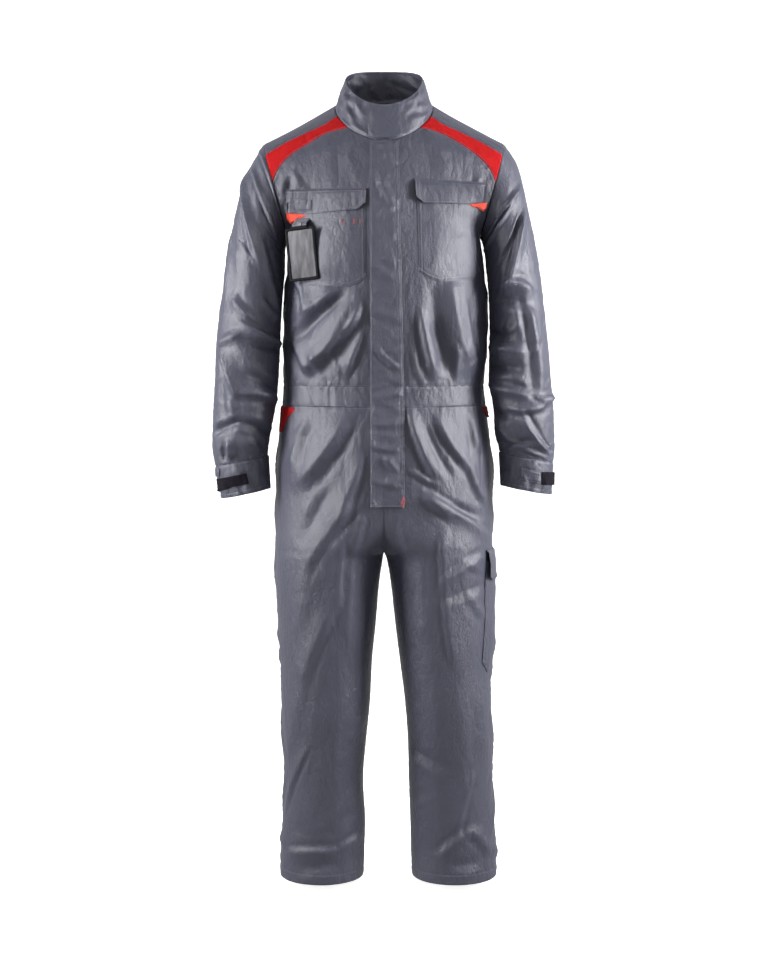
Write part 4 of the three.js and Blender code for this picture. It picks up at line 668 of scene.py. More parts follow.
def wall_mesh(name, grids, material, thick, replaces=(), tucked="", tuck=3.5):
    """A cloth piece from grids of outer points: the wall lies inside them and its rim is rounded.
    Its tucked sides run on below the next piece, as a seam allowance does."""
    Vs, Fs, Cs, base = [], [], [], 0
    for P, N, turned in grids:
        r, c = P.shape[:2]
        run = np.concatenate([np.zeros((r, 1)), np.cumsum(np.linalg.norm(np.diff(P, axis=1), axis=-1), 1)], 1)
        run = run - run[:, c // 2:c // 2 + 1]
        rise = np.concatenate([np.zeros((1, c)), np.cumsum(np.linalg.norm(np.diff(P, axis=0), axis=-1), 0)], 0)
        cut = np.stack([run, rise[:, c // 2:c // 2 + 1] + 0 * run], -1).reshape(-1, 2)
        i = np.arange(r * c).reshape(r, c)
        q = np.stack([i[:-1, :-1], i[:-1, 1:], i[1:, 1:], i[1:, :-1]], -1).reshape(-1, 4)
        loop = np.concatenate([i[0, :-1], i[:-1, -1], i[-1, :0:-1], i[:0:-1, 0]])
        if turned:
            q, loop = q[:, ::-1], loop[::-1]
        n, k = r * c, len(loop)
        A, B = P.reshape(-1, 3), (P - N * thick).reshape(-1, 3)
        out = unit(np.cross(A[np.roll(loop, -1)] - A[np.roll(loop, 1)], N.reshape(-1, 3)[loop]))
        on = np.zeros((r, c), bool)
        for side, at in (("l", np.s_[:, 0]), ("r", np.s_[:, -1]), ("b", np.s_[0]), ("t", np.s_[-1])):
            if side in tucked:
                on[at] = True
        for side, at in (("l", np.s_[:, 0]), ("r", np.s_[:, -1]), ("b", np.s_[0]), ("t", np.s_[-1])):
            if side not in tucked:
                on[at] = False
        far = on.ravel()[loop][:, None]
        m = np.where(far, 0.1 * A[loop] + 0.9 * B[loop] + out * tuck, (A[loop] + B[loop]) / 2 + out * thick * 0.3)
        j = np.arange(k)
        nx = (j + 1) % k
        rim1 = np.stack([loop[nx], loop, 2 * n + j, 2 * n + nx], -1)
        rim2 = np.stack([2 * n + nx, 2 * n + j, n + loop, n + loop[nx]], -1)
        Vs.append(np.concatenate([A, B, m]))
        Fs.append(np.concatenate([q, q[:, ::-1] + n, rim1, rim2]) + base)
        Cs.append(np.concatenate([cut, cut, cut[loop]]))
        base += 2 * n + k
    ob = mesh_object(name, np.concatenate(Vs), np.concatenate(Fs), material, np.concatenate(Cs))
    finish_piece(ob, replaces)
    return ob


def along(P, side):
    """Running length of a grid from one of its sides inwards, and along it."""
    r, c = P.shape[:2]
    run = np.concatenate([np.zeros((r, 1)), np.cumsum(np.linalg.norm(np.diff(P, axis=1), axis=-1), 1)], 1)
    rise = np.concatenate([np.zeros((1, c)), np.cumsum(np.linalg.norm(np.diff(P, axis=0), axis=-1), 0)], 0)
    return {"l": (run, rise), "r": (run[:, -1:] - run, rise), "b": (rise, run), "t": (rise[-1:] - rise, run)}[side]


def sewn(P, N, h, seams, seed=0):
    """Moves a grid out by h, draws it in at its seams, puckers it there and sinks its stitched lines.
    seams: {side: (dip, pucker, (stitch insets))}."""
    add = np.array(h, float) + np.zeros(P.shape[:2])
    for side, (dip, pucker, lines) in seams.items():
        d, s = along(P, side)
        add -= dip * np.exp(-(d / 1.5) ** 1.4)
        if pucker:
            a = np.sin(s / 2.6 + 2.1 * np.sin(s / 23.0 + seed)) + 0.7 * np.sin(s / 4.1 + 1.8 * np.sin(s / 31.0) + seed)
            add += pucker * a * np.exp(-(np.abs(d - 4.5) / 5.5) ** 1.5)
        for line in lines:
            add -= 0.42 * np.exp(-((d - line) / 1.1) ** 2)
    Q = P + N * add[..., None]
    for side in seams:
        if side == "l": Q[:, 0] += 0.15 * unit(Q[:, 1] - Q[:, 0])
        if side == "r": Q[:, -1] += 0.15 * unit(Q[:, -2] - Q[:, -1])
        if side == "b": Q[0] += 0.15 * unit(Q[1] - Q[0])
        if side == "t": Q[-1] += 0.15 * unit(Q[-2] - Q[-1])
    return Q


def stitch_line(Q, N, side, inset, thread="thread", lo=0.0, hi=1.0):
    """A row of stitches beside one side of a grid."""
    G, M = Q, N
    if side in "bt":
        G, M = np.swapaxes(Q, 0, 1), np.swapaxes(N, 0, 1)
    if side in "rt":
        G, M = G[:, ::-1], M[:, ::-1]
    d = np.concatenate([np.zeros((len(G), 1)), np.cumsum(np.linalg.norm(np.diff(G, axis=1), axis=-1), 1)], 1)
    pts, nrm = [], []
    for row, dr, nr in zip(G, d, M):
        if dr[-1] < inset + 0.5:
            continue
        j = min(max(int(np.searchsorted(dr, inset)), 1), len(dr) - 1)
        t = (inset - dr[j - 1]) / max(dr[j] - dr[j - 1], 1e-9)
        pts.append(lerp(row[j - 1], row[j], t))
        nrm.append(lerp(nr[j - 1], nr[j], t))
    if len(pts) < 3:
        return
    a, b = int(lo * (len(pts) - 1)), int(hi * (len(pts) - 1)) + 1
    STITCHED[thread].append((np.array(pts[a:b]), unit(np.array(nrm[a:b]))))


def stitches(lines, name, material):
    """All rows of stitches of one thread as one mesh."""
    Vs, Fs, base = [], [], 0
    pitch = STITCH["long"] + STITCH["gap"]
    shape = np.array([(-0.5, -0.35, 0), (-0.5, 0.35, 0), (0.5, 0.35, 0), (0.5, -0.35, 0),
                      (-0.34, -0.5, 0.7), (-0.34, 0.5, 0.7), (0.34, 0.5, 0.7), (0.34, -0.5, 0.7),
                      (-0.2, -0.25, 1.0), (-0.2, 0.25, 1.0), (0.2, 0.25, 1.0), (0.2, -0.25, 1.0)])
    quads = []
    for k in (0, 4):
        for a in range(4):
            b = (a + 1) % 4
            quads.append((k + a, k + b, k + 4 + b, k + 4 + a))
    quads.append((8, 9, 10, 11))
    quads.append((3, 2, 1, 0))
    quads = np.array(quads)
    for P, N in lines:
        seg = np.linalg.norm(np.diff(P, axis=0), axis=-1)
        s = np.concatenate([[0], np.cumsum(seg)])
        n = int(s[-1] / pitch)
        if n < 1:
            continue
        at = (np.arange(n) + 0.5) * pitch
        C = np.stack([np.interp(at, s, P[:, i]) for i in range(3)], -1)
        T = unit(np.stack([np.interp(at + 1, s, P[:, i]) - np.interp(at - 1, s, P[:, i]) for i in range(3)], -1))
        M = unit(np.stack([np.interp(at, s, N[:, i]) for i in range(3)], -1))
        W = unit(np.cross(T, M))
        M = np.cross(W, T)
        L, wd, hg = STITCH["long"], STITCH["wide"], STITCH["high"]
        v = (C[:, None] + shape[None, :, :1] * L * T[:, None] + shape[None, :, 1:2] * wd * W[:, None]
             + (shape[None, :, 2:] * hg - 0.12) * M[:, None])
        Vs.append(v.reshape(-1, 3))
        Fs.append((quads[None] + (np.arange(n) * 12)[:, None, None]).reshape(-1, 4) + base)
        base += 12 * n
    ob = mesh_object(name, np.concatenate(Vs), np.concatenate(Fs), material)
    finish_piece(ob)
    return ob


# ---------------------------------------------------------------- body panels
def seam_row(side, face, u, line, lo, hi):
    at = curve(line, "x", "z")
    a, b = np.full_like(u, lo), np.full_like(u, hi)
    for _ in range(34):
        m = (a + b) / 2
        p = body_point(side, face, u, m)
        under = p[..., 2] < at(np.abs(p[..., 0]))
        a, b = np.where(under, m, a), np.where(under, b, m)
    return (a + b) / 2


BAND = (WAIST_TOP - WAIST_SEAM) / (UNDERARM - WAIST_SEAM)
CORNER = 1 + NECK_SHARE
half_u, back_u = ticks(292), ticks(292, step=STEP_BACK)


def zones(*parts, step=None):
    """Rows through several zones: each (mm, seam below, seam above), as (zone, share)."""
    out = []
    for i, (mm, lo, hi) in enumerate(parts):
        t = ticks(mm, lo, hi, step)
        out += [(i, v) for v in (t if i == 0 else t[1:])]
    return out


def body_grid(side, face, u, rows, limits):
    V = np.array([lerp(limits[i][0](u), limits[i][1](u), t) for i, t in rows])
    return body_point(side, face, u[None, :] + 0 * V, V), V


def level_at(v):
    return lambda u: np.full_like(u, v)


SEAM_PLAIN = (1.3, 0.28, (2.4,))
SEAM_DOUBLE = (1.5, 0.35, (2.4, 8.0))
SEAM_NONE = (1.1, 0.12, ())
front_low = {s: (lambda u, s=s: seam_row(s, "front", u, INSERT_LOW, 1.3, 1.999)) for s in "RL"}
front_top = {s: (lambda u, s=s: seam_row(s, "front", u, INSERT_TOP, 1.6, 1.9999)) for s in "RL"}
yoke_low = {s: (lambda u, s=s: np.minimum(seam_row(s, "back", u, YOKE_BACK, 1.1, 1.95), CORNER - 0.02)) for s in "RL"}


def corner_row(u):
    return lerp(CORNER, 1.36, u)


def panel(name, P, hint, h, seams, node, material="twill", thick=CLOTH, keep=None, seed=0, tucked="lrbt", hold=None, tuck=3.5):
    N, turned = normals(P, hint)
    Q = sewn(P, N, h, seams, seed)
    if hold is not None:
        Q = hold(P, Q)
    M, _ = normals(Q, hint)
    ob = wall_mesh(name, [(Q, M, turned)], material, thick, [node], tucked, tuck)
    for side, (_, _, lines) in seams.items():
        for line in lines:
            stitch_line(Q, M, side, line)
    for k in keep or ():
        k.append(Q)
    return ob, Q, M


def even_chest(P, V):
    """Rounds the changes of slope at the level of the underarm and of the neck's corner, but not at the seams."""
    a = P.copy()
    u = half_u[None, :]
    near = np.maximum(np.exp(-((V - 0.99) / 0.15) ** 2), np.exp(-((V - corner_row(u)) / 0.11) ** 2))[1:-1, :, None]
    edge = (smooth((along(P, "r")[0] - 4) / 40.0) * smooth((along(P, "t")[0] - 4) / 26.0))[1:-1, :, None]
    for _ in range(90):
        a[1:-1] += 0.5 * near * edge * (0.5 * (a[2:] + a[:-2]) - a[1:-1])
    return a


for s in "RL":
    lim = [(level_at(BAND), level_at(1.0)), (level_at(1.0), corner_row), (corner_row, front_low[s])]
    P, V = body_grid(s, "front", half_u, zones((292, True, False), (160, False, False), (78, False, True)), lim)
    panel(f"front_{s}_cloth", even_chest(P, V), (SIGN[s] * 60, 0, -330), body_folds(P, "front"),
          {"l": SEAM_NONE, "r": SEAM_DOUBLE, "b": (0.9, 0.5, (2.4,)), "t": SEAM_DOUBLE}, f"bodice_front_{s}", keep=[FRONT_GRIDS], seed=1)
    P, V = body_grid(s, "front", half_u, [(0, t) for t in ticks(40)], [(front_low[s], front_top[s])])
    panel(f"insert_{s}_cloth", P, (SIGN[s] * 150, 60, -200), 0.25 * body_folds(P, "front"),
          {"l": SEAM_NONE, "r": SEAM_NONE, "b": (1.2, 0.2, (2.4,)), "t": (1.2, 0.2, (2.4,))}, f"shoulder_insert_{s}", "insert",
          keep=[FRONT_GRIDS], seed=2)
    P, V = body_grid(s, "front", half_u, [(0, t) for t in ticks(40)], [(level_at(0.0), level_at(BAND))])
    panel(f"waist_front_{s}_cloth", P, (SIGN[s] * 60, 0, -557), body_folds(P, "front"),
          {"l": SEAM_NONE, "r": SEAM_NONE, "b": (0.9, 0.5, (2.4,)), "t": (0.8, 0.5, (2.4,))}, f"waistband_front_{s}", keep=[FRONT_GRIDS], seed=3)


def both_sides(build):
    """One grid right across the back, from the wearer's right to the left."""
    a, b = build("R"), build("L")
    return np.concatenate([a[:, ::-1], b[:, 1:]], 1)


P = both_sides(lambda s: body_grid(s, "back", back_u, zones((292, True, False), (150, False, True), step=STEP_BACK),
                                   [(level_at(BAND), level_at(1.0)), (level_at(1.0), yoke_low[s])])[0])
panel("back_cloth", P, (0, 0, -330), body_folds(P, "back"),
      {"l": SEAM_DOUBLE, "r": SEAM_DOUBLE, "b": (1.5, 0.6, (2.4,)), "t": SEAM_DOUBLE}, "bodice_back", seed=4)
P = both_sides(lambda s: body_grid(s, "back", back_u, [(0, t) for t in ticks(40)], [(level_at(0.0), level_at(BAND))])[0])
panel("waist_back_cloth", P, (0, 0, -557), body_folds(P, "back"),
      {"l": SEAM_NONE, "r": SEAM_NONE, "b": (1.6, 0.6, (2.4,)), "t": (1.4, 0.6, (2.4,))}, "waistband_back", seed=5)

# the yoke runs over the shoulders: two halves that meet below the back neck
YOKE_SEAMS = {"r": SEAM_DOUBLE, "b": (1.2, 0.2, (2.4,)), "t": (1.3, 0.3, (2.4,))}
grids = []
for s in "RL":
    u = back_u
    V1 = np.array([lerp(front_top[s](u), np.full_like(u, 2.0), t) for t in ticks(40, True, False)])
    rows = [body_point(s, "front", u[None] + 0 * V1, V1)]
    for lo, hi, mm in ((2.0, CORNER, 150), (CORNER, None, 20)):
        end = np.full_like(u, hi) if hi else yoke_low[s](u)
        V2 = np.array([lerp(np.full_like(u, lo), end, t) for t in ticks(mm, False, hi is None, STEP_BACK)[1:]])
        rows.append(body_point(s, "back", u[None] + 0 * V2, V2))
    P = np.concatenate(rows)
    hint = (SIGN[s] * 110, 0, -220)
    N, turned = normals(P, hint)
    centre = np.abs(P[:, 0, 0]) < 1e-6
    N[centre, 0, 0] = 0
    N = unit(N)
    d, run = along(P, "l")
    h = 0.6 * body_folds(P, "back") * smooth((P[..., 1] - 12) / 30) + swell(P[..., 0], P[..., 1], 9, 1.2)
    Q = sewn(P, N, h, YOKE_SEAMS, 6)
    Q = Q - N * (1.2 * np.exp(-(d / 1.5) ** 1.4) * (~centre)[:, None])[..., None]
    Q[centre, 0, 0] = 0.0
    M, _ = normals(Q, hint)
    M[centre, 0, 0] = 0
    M = unit(M)
    grids.append((Q, M, turned))
    for side, (_, _, lines) in YOKE_SEAMS.items():
        for line in lines:
            stitch_line(Q, M, side, line)
    FRONT_GRIDS.append(Q)
wall_mesh("yoke_cloth", grids, "twill", CLOTH, ["back_yoke"], "rbt")

# ---------------------------------------------------------------- legs
for s in "RL":
    for face in ("front", "back"):
        step = STEP if face == "front" else STEP_BACK
        t, z = np.broadcast_arrays(ticks(300, step=step)[None, :], lerp(WAIST_SEAM, HEM, ticks(952, step=step))[:, None])
        P = leg_point(s, face, t, z)
        P[..., 2] -= HEM_DIP * smooth((-1440 - z) / 89) * (np.sin(np.pi * t) if face == "front" else 0)
        seams = {"l": SEAM_DOUBLE, "r": SEAM_PLAIN, "b": (0.9, 0.5, (2.4,)), "t": (0.8, 0.25, (18.0, 19.8))}

        def hold(P, Q, s=s):
            keep = (1 - smooth(along(P, "r")[0] / 16.0)) * smooth((P[:, -1:, 2] - CROTCH + 12) / 20.0)
            Q = Q.copy()
            Q[..., 0] = lerp(Q[..., 0], P[..., 0], keep)
            return Q
        ob, Q, M = panel(f"leg_{face}_{s}_cloth", P, (SIGN[s] * 110, 0, -1000), body_folds(P, face), seams, f"leg_{face}_{s}",
                         keep=[FRONT_GRIDS] if face == "front" else None, seed=7, tucked="lrb", hold=hold)
        if s == "L":
            LEFT_SIDE_GRIDS.append(Q)

# ---------------------------------------------------------------- sleeves and cuffs
for s in "RL":
    for face, a, b in (("front", 0.0, 180.0), ("back", -180.0, 0.0)):
        step = STEP if face == "front" else STEP_BACK
        k, deg = np.broadcast_arrays(lerp(0.0, 11.0, ticks(650, step=step))[:, None], lerp(a, b, ticks(230, step=step))[None, :])
        P = sleeve_point(s, k, deg)
        seams = {"l": SEAM_PLAIN, "r": SEAM_PLAIN, "b": (1.5, 0.35, ()), "t": (1.5, 0.6, (2.4,))}
        panel(f"sleeve_{face}_{s}_cloth", P, (SIGN[s] * 265, -20, -400), sleeve_folds(s, k, deg), seams, f"sleeve_{face}_{s}", seed=8)
    k, deg = np.broadcast_arrays(lerp(11.0, 12.0, ticks(64))[:, None], lerp(-180.0, 180.0, ticks(340))[None, :])
    P = sleeve_point(s, k, deg)
    panel(f"cuff_{s}_cloth", P, (SIGN[s] * 280, -41, -715), swell(deg * 0.95, k * 60, 21, 2.4) + fold_sum(SMALL_CUFF, deg * 0.95, k * 60) + 0.8,
          {"l": SEAM_NONE, "r": SEAM_NONE, "b": (1.0, 0.5, (2.0,)), "t": (0.9, 0.4, (2.4, 8.0))}, f"cuff_{s}",
          thick=2.0, keep=[CUFF_GRIDS[s]], seed=9, tucked="lrb")

# ---------------------------------------------------------------- collar
hh, deg = np.broadcast_arrays(ticks(66)[:, None], lerp(0.15, 359.85, ticks(480))[None, :])
P = collar_point(deg, hh)
turn = np.where(deg > 180, deg - 360, deg) * 1.4
h = (fold_sum(COLLAR_FOLDS, turn, hh * 66) + fold_sum(SMALL_COLLAR, turn, hh * 66)) * smooth(hh / 0.12) * smooth((1.05 - hh) / 0.2) + swell(turn, hh * 66, 31, 1.6) * smooth(hh / 0.2)
panel("collar_cloth", P, (0, 5, 0), h, {"l": SEAM_NONE, "r": SEAM_NONE, "b": (1.4, 0.35, (2.4,)), "t": (0.6, 0.15, (2.4,))},
      "collar", thick=2.2, seed=10, tucked="b", tuck=10.0)


# ---------------------------------------------------------------- places on the finished panels
def caster(grids):
    V, F, base = [], [], 0
    for Q in grids:
        r, c = Q.shape[:2]
        i = np.arange(r * c).reshape(r, c) + base
        V.append(Q.reshape(-1, 3))
        F.append(np.stack([i[:-1, :-1], i[:-1, 1:], i[1:, 1:], i[1:, :-1]], -1).reshape(-1, 4))
        base += r * c
    return BVHTree.FromPolygons(np.concatenate(V).tolist(), np.concatenate(F).tolist(), epsilon=0.0)


def cast(tree, starts, way, far):
    """Where straight lines first meet the panels; a line that misses takes its nearest neighbour's depth."""
    P = np.array(starts, float)
    hit = np.zeros(P.shape[:2], bool)
    axis = int(np.argmax(np.abs(way)))
    for i in range(P.shape[0]):
        for j in range(P.shape[1]):
            loc = tree.ray_cast(P[i, j].tolist(), way, far)[0]
            if loc is not None:
                P[i, j] = loc
                hit[i, j] = True
    for _ in range(400):
        if hit.all() or not hit.any():
            break
        for di, dj in ((1, 0), (-1, 0), (0, 1), (0, -1)):
            src = np.roll(np.roll(hit, di, 0), dj, 1)
            if di == 1: src[0] = False
            if di == -1: src[-1] = False
            if dj == 1: src[:, 0] = False
            if dj == -1: src[:, -1] = False
            take = src & ~hit
            P[..., axis][take] = np.roll(np.roll(P[..., axis], di, 0), dj, 1)[take]
            hit |= take
    return P


front_tree, side_tree = caster(FRONT_GRIDS), caster(LEFT_SIDE_GRIDS)
cuff_tree = {s: caster(CUFF_GRIDS[s]) for s in "RL"}


def resample(line, t):
    line = np.array(line, float)
    s = np.concatenate([[0], np.cumsum(np.linalg.norm(np.diff(line, axis=0), axis=-1))])
    return np.stack([np.interp(np.asarray(t) * s[-1], s, line[:, i]) for i in range(2)], -1)


def length(line):
    return float(np.linalg.norm(np.diff(np.array(line, float), axis=0), axis=-1).sum())


def patch(outline, corners, step=None):
    """A grid over an outline with four named corners: rows from its bottom to its top."""
    n = len(outline)
    a, b, c, d = corners      # top left, top right, bottom right, bottom left

    def part(i, j):
        out = [outline[i]]
        while i != j:
            i = (i + 1) % n
            out.append(outline[i])
        return out
    top, right, bottom, left = part(a, b), part(b, c), part(c, d), part(d, a)
    U, V = ticks(max(length(top), length(bottom)), step=step), ticks(max(length(left), length(right)), step=step)
    T, B = resample(top, U), resample(bottom[::-1], U)
    L, R = resample(left, V), resample(right[::-1], V)
    u, v = U[None, :, None], V[:, None, None]
    return ((1 - v) * B[None] + v * T[None] + (1 - u) * L[:, None] + u * R[:, None]
            - ((1 - u) * (1 - v) * B[0] + u * (1 - v) * B[-1] + (1 - u) * v * T[0] + u * v * T[-1]))


def calm(P, axis, way, rounds):
    """Evens a patch out, without letting it sink below what it lies on."""
    low = P[..., axis].copy()
    a = low.copy()
    for _ in range(rounds):
        b = np.pad(a, 1, mode="edge")
        a = 0.5 * a + 0.125 * (b[:-2, 1:-1] + b[2:, 1:-1] + b[1:-1, :-2] + b[1:-1, 2:])
        a = np.minimum(a, low) if way < 0 else np.maximum(a, low)
    out = P.copy()
    out[..., axis] = a
    return out


def overlay(name, node, G, tree, lift, edge_lift, material, view="front", thick=TRIM, lines=None, rounds=6, bulge=0.0,
            free=(), hang=2.0, seed=0, extra=None, pucker=0.12):
    """A piece that lies on the panels: sewn edges hug them, free edges stand off."""
    if view == "front":
        starts = np.stack([G[..., 0], np.full(G.shape[:2], -420.0), G[..., 1]], -1)
        P = calm(cast(tree, starts, (0, 1, 0), 420), 1, -1, rounds)
        hint = (G[..., 0].mean(), 400, G[..., 1].mean())
    else:
        starts = np.stack([np.full(G.shape[:2], 420.0), G[..., 0], G[..., 1]], -1)
        P = calm(cast(tree, starts, (-1, 0, 0), 420), 0, 1, rounds)
        hint = (-400, G[..., 0].mean(), G[..., 1].mean())
    N, turned = normals(P, hint)
    fixed = [along(P, e)[0] for e in "lrbt" if e not in free] or [np.full(P.shape[:2], 50.0)]
    h = lerp(edge_lift, lift, smooth(np.minimum.reduce(fixed) / 5.0))
    if bulge:
        h = h + bulge * smooth(np.minimum.reduce([along(P, e)[0] for e in "lrb"]) / 45.0)
    for e in free:
        h = h + hang * np.exp(-(along(P, e)[0] / 9.0) ** 1.3)
    if extra is not None:
        h = h + extra(P)
    lines = lines if lines is not None else {"l": (1.8,), "r": (1.8,), "b": (1.8,), "t": (1.8,)}
    Q = sewn(P, N, h, {e: (0.0, pucker, lines.get(e, ())) for e in "lrbt"}, seed)
    M, _ = normals(Q, hint)
    ob = wall_mesh(name, [(Q, M, turned)], material, thick, [node] if node else [])
    for e, insets in lines.items():
        for i in insets:
            stitch_line(Q, M, e, i)
    return ob, Q, M


# placket over the front opening
zs = lerp(-770.0, -62.0, ticks(708))
right = lerp(39.0, 27.0, np.clip((zs + 577) / 515, 0, 1))
xs = lerp(-26.0, right[:, None], ticks(60)[None, :])
G = np.stack([xs, zs[:, None] + 0 * xs], -1)
overlay("placket_cloth", "placket", G, front_tree, 3.4, 2.9, "twill", thick=1.8, rounds=2, free=("l", "b"), hang=2.2,
        lines={"l": (2.4,), "r": (2.4, 8.2), "b": (2.4,)}, seed=11, pucker=0.3,
        extra=lambda P: 1.3 * fold_sum(PLACKET_FOLDS, P[..., 0], P[..., 2]) + fold_sum(SMALL_PLACKET, P[..., 0], P[..., 2])
        + 0.8 * np.sin(P[..., 2] / 31.0 + np.sin(P[..., 2] / 57.0)) * smooth((P[..., 0] + 30) / 60))
# the placket goes on up the collar's front
cd, ch = np.broadcast_arrays(lerp(-18.0, 21.0, ticks(52))[None, :], lerp(0.03, 0.985, ticks(66))[:, None])
P = collar_point(cd, ch)
N, turned = normals(P, (0, 5, 0))
h = 3.4 + 1.4 * np.exp(-(along(P, "l")[0] / 8.0) ** 1.3) + 0.9 * np.exp(-(along(P, "r")[0] / 8.0) ** 1.3)
h = h + fold_sum(COLLAR_FOLDS, (cd - 8) * 2.2, ch * 66) * 0.35 + 0.8 * np.sin(ch * 5 + cd / 14)
Q = sewn(P, N, h, {"l": (0.2, 0.2, (2.4,)), "r": (0.2, 0.2, (2.4,)), "t": (0.4, 0.2, (2.4,)), "b": (0.2, 0.1, ())}, 12)
M, _ = normals(Q, (0, 5, 0))
wall_mesh("collar_placket_cloth", [(Q, M, turned)], "twill", 1.9, ["collar_placket"])
for e in "lrt":
    stitch_line(Q, M, e, 2.4)

# chest pockets, flaps and their wedges
for s in "RL":
    overlay(f"pocket_{s}_cloth", f"chest_pocket_{s}", patch(POCKET[s], (0, 1, 2, 6)), front_tree, 1.9, 1.0, "twill",
            rounds=30, bulge=3.2, seed=13, lines={"l": (1.8, 7.4), "r": (1.8, 7.4), "b": (1.8, 7.4)},
            extra=lambda P: swell(P[..., 0], P[..., 2], 41, 1.2) * smooth(along(P, "l")[0] / 20) * smooth(along(P, "r")[0] / 20))
    overlay(f"flap_{s}_cloth", f"chest_flap_{s}", patch(FLAP[s], (0, 1, 2, 5)), front_tree, 4.4, 1.2, "twill",
            rounds=40, free=("b", "l", "r"), hang=1.4, seed=14, lines={"t": (1.8, 7.4), "b": (2.2,), "l": (2.2,), "r": (2.2,)},
            extra=lambda P: 2.4 * smooth(along(P, "t")[0] / 26.0) + 0.7 * np.sin(P[..., 0] / 17.0) * smooth(along(P, "t")[0] / 30.0))
    G = patch(WEDGE[s], (0, 1, 2, 4) if s == "R" else (0, 1, 3, 4), step=3)
    overlay(f"wedge_{s}_cloth", f"flap_wedge_{s}", G, front_tree, 4.8, 3.6, "accent", rounds=20, seed=15, lines={"b": (1.6,)})
    G = patch(FACING[s], (0, 1, 4, 5) if s == "R" else (0, 1, 3, 4), step=3)
    overlay(f"facing_{s}_cloth", f"pocket_facing_{s}", G, front_tree, 1.5, 1.2, "facing", rounds=2, seed=16, thick=0.8, lines={})

# pen slot band on the flap of the wearer's right
G = patch([(-189, -172), (-137, -176), (-137, -199), (-189, -197)], (0, 1, 2, 3), step=3)
overlay("pen_slot_cloth", None, G, front_tree, 8.2, 7.6, "twill", rounds=40, seed=17, thick=0.9,
        lines={"t": (1.4,), "b": (1.4,), "l": (1.4,)})

# cuff tabs and their hook strips
for s in "RL":
    overlay(f"tab_{s}_cloth", f"cuff_tab_{s}", patch(TAB[s], (0, 1, 2, 3), step=3), cuff_tree[s], 2.6, 1.9, "twill", rounds=3,
            seed=18, thick=1.2, lines={"t": (1.8,), "b": (1.8,), "l": (1.8,)} if s == "L" else {})
    G = patch(HOOK[s], (0, 2, 3, 5) if s == "R" else (0, 1, 2, 3), step=2.5)
    overlay(f"hook_{s}_tape", f"cuff_hook_{s}", G, cuff_tree[s], 2.6, 2.2, "hook", rounds=3, seed=19, thick=1.3, lines={}, pucker=0.05)

# thigh pocket and its flap, round the outer seam of the wearer's left leg
a, b, top, lid, low, c = (THIGH[k] for k in ("front", "back", "top", "flap", "bottom", "corner"))
G = patch([(a, top - 22), (b, top - 22), (b, low + c), (b - c, low), (a + c, low), (a, low + c)], (0, 1, 2, 5))
overlay("thigh_pocket_cloth", "thigh_pocket", G, side_tree, 2.2, 1.2, "twill", view="side", rounds=30, bulge=4.0, seed=20,
        lines={"l": (1.8, 7.4), "r": (1.8, 7.4), "b": (1.8, 7.4)},
        extra=lambda P: -1.1 * np.exp(-((P[..., 2] + 995 + 0.1 * P[..., 1]) / 1.6) ** 2))
G = patch([(a - 3, top), (b + 3, top), (b + 3, lid), (b - 20, lid - 10), (a + 20, lid - 10), (a - 3, lid)], (0, 1, 2, 5))
overlay("thigh_flap_cloth", "thigh_flap", G, side_tree, 4.6, 1.4, "twill", view="side", rounds=40, free=("b", "l", "r"), hang=2.2,
        seed=21, lines={"t": (1.8, 7.4), "b": (2.2,), "l": (2.2,), "r": (2.2,)}, extra=lambda P: 3.0 * smooth(along(P, "t")[0] / 30.0))


# ---------------------------------------------------------------- bartacks
def on_front(x, z, lift):
    loc = front_tree.ray_cast((x, -420, z), (0, 1, 0), 420)[0]
    return np.array([loc[0], loc[1] - lift, loc[2]])


def bartack(x, z, long, lean, lift, thread):
    """A short dense bar of thread."""
    ca, sa = math.cos(math.radians(lean)), math.sin(math.radians(lean))
    for off in (-0.9, 0.0, 0.9):
        t = np.linspace(-0.5, 0.5, 6) * long
        P = np.array([on_front(x + ca * v - sa * off, z + sa * v + ca * off, lift) for v in t])
        STITCHED[thread].append((P, np.tile([0.0, -1.0, 0.0], (len(t), 1))))


for x, z, long, lean, lift, thread in (
        (36, -757, 17, 70, 6.2, "red_thread"), (38.5, -764, 17, 78, 6.2, "red_thread"), (-37, -158, 9, 0, 4.6, "red_thread"),
        (196, -146, 7, 0, 4.6, "red_thread"), (-112, -221, 10, 88, 6.3, "red_thread"), (-80, -220, 10, 88, 6.3, "red_thread"),
        (-58, -219, 10, 88, 6.3, "red_thread"), (-46, -218, 8, 88, 6.3, "red_thread"), (-36, -320, 9, 90, 2.2, "thread"), (186, -308, 9, 90, 2.2, "thread"),
        (67, -310, 9, 90, 2.2, "thread"), (-20, -766, 12, 0, 6.0, "thread")):
    bartack(x, z, long, lean, lift, thread)

stitches(STITCHED["thread"], "seam_stitches", "thread")
stitches(STITCHED["red_thread"], "red_bartacks", "red_thread")


# ---------------------------------------------------------------- badge holder
def rounded(w, h, r, n=6):
    out = []
    for cx, cy, a0 in ((w / 2 - r, -h / 2 + r, -90), (w / 2 - r, h / 2 - r, 0), (-w / 2 + r, h / 2 - r, 90), (-w / 2 + r, -h / 2 + r, 180)):
        for i in range(n + 1):
            a = math.radians(a0 + 90 * i / n)
            out.append((cx + r * math.cos(a), cy + r * math.sin(a)))
    return np.array(out)


box = np.array(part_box("badge_frame")) * 1000.0
origin = box.mean(0)
lean = math.radians(BADGE["lean"])
yaw = -math.radians(BADGE["turn"])
ACROSS, INWARD = np.array([math.cos(yaw), math.sin(yaw), 0.0]), np.array([-math.sin(yaw), math.cos(yaw), 0.0])
RIGHT = ACROSS * math.cos(lean) + np.array([0, 0, 1.0]) * math.sin(lean)
UP = -ACROSS * math.sin(lean) + np.array([0, 0, 1.0]) * math.cos(lean)


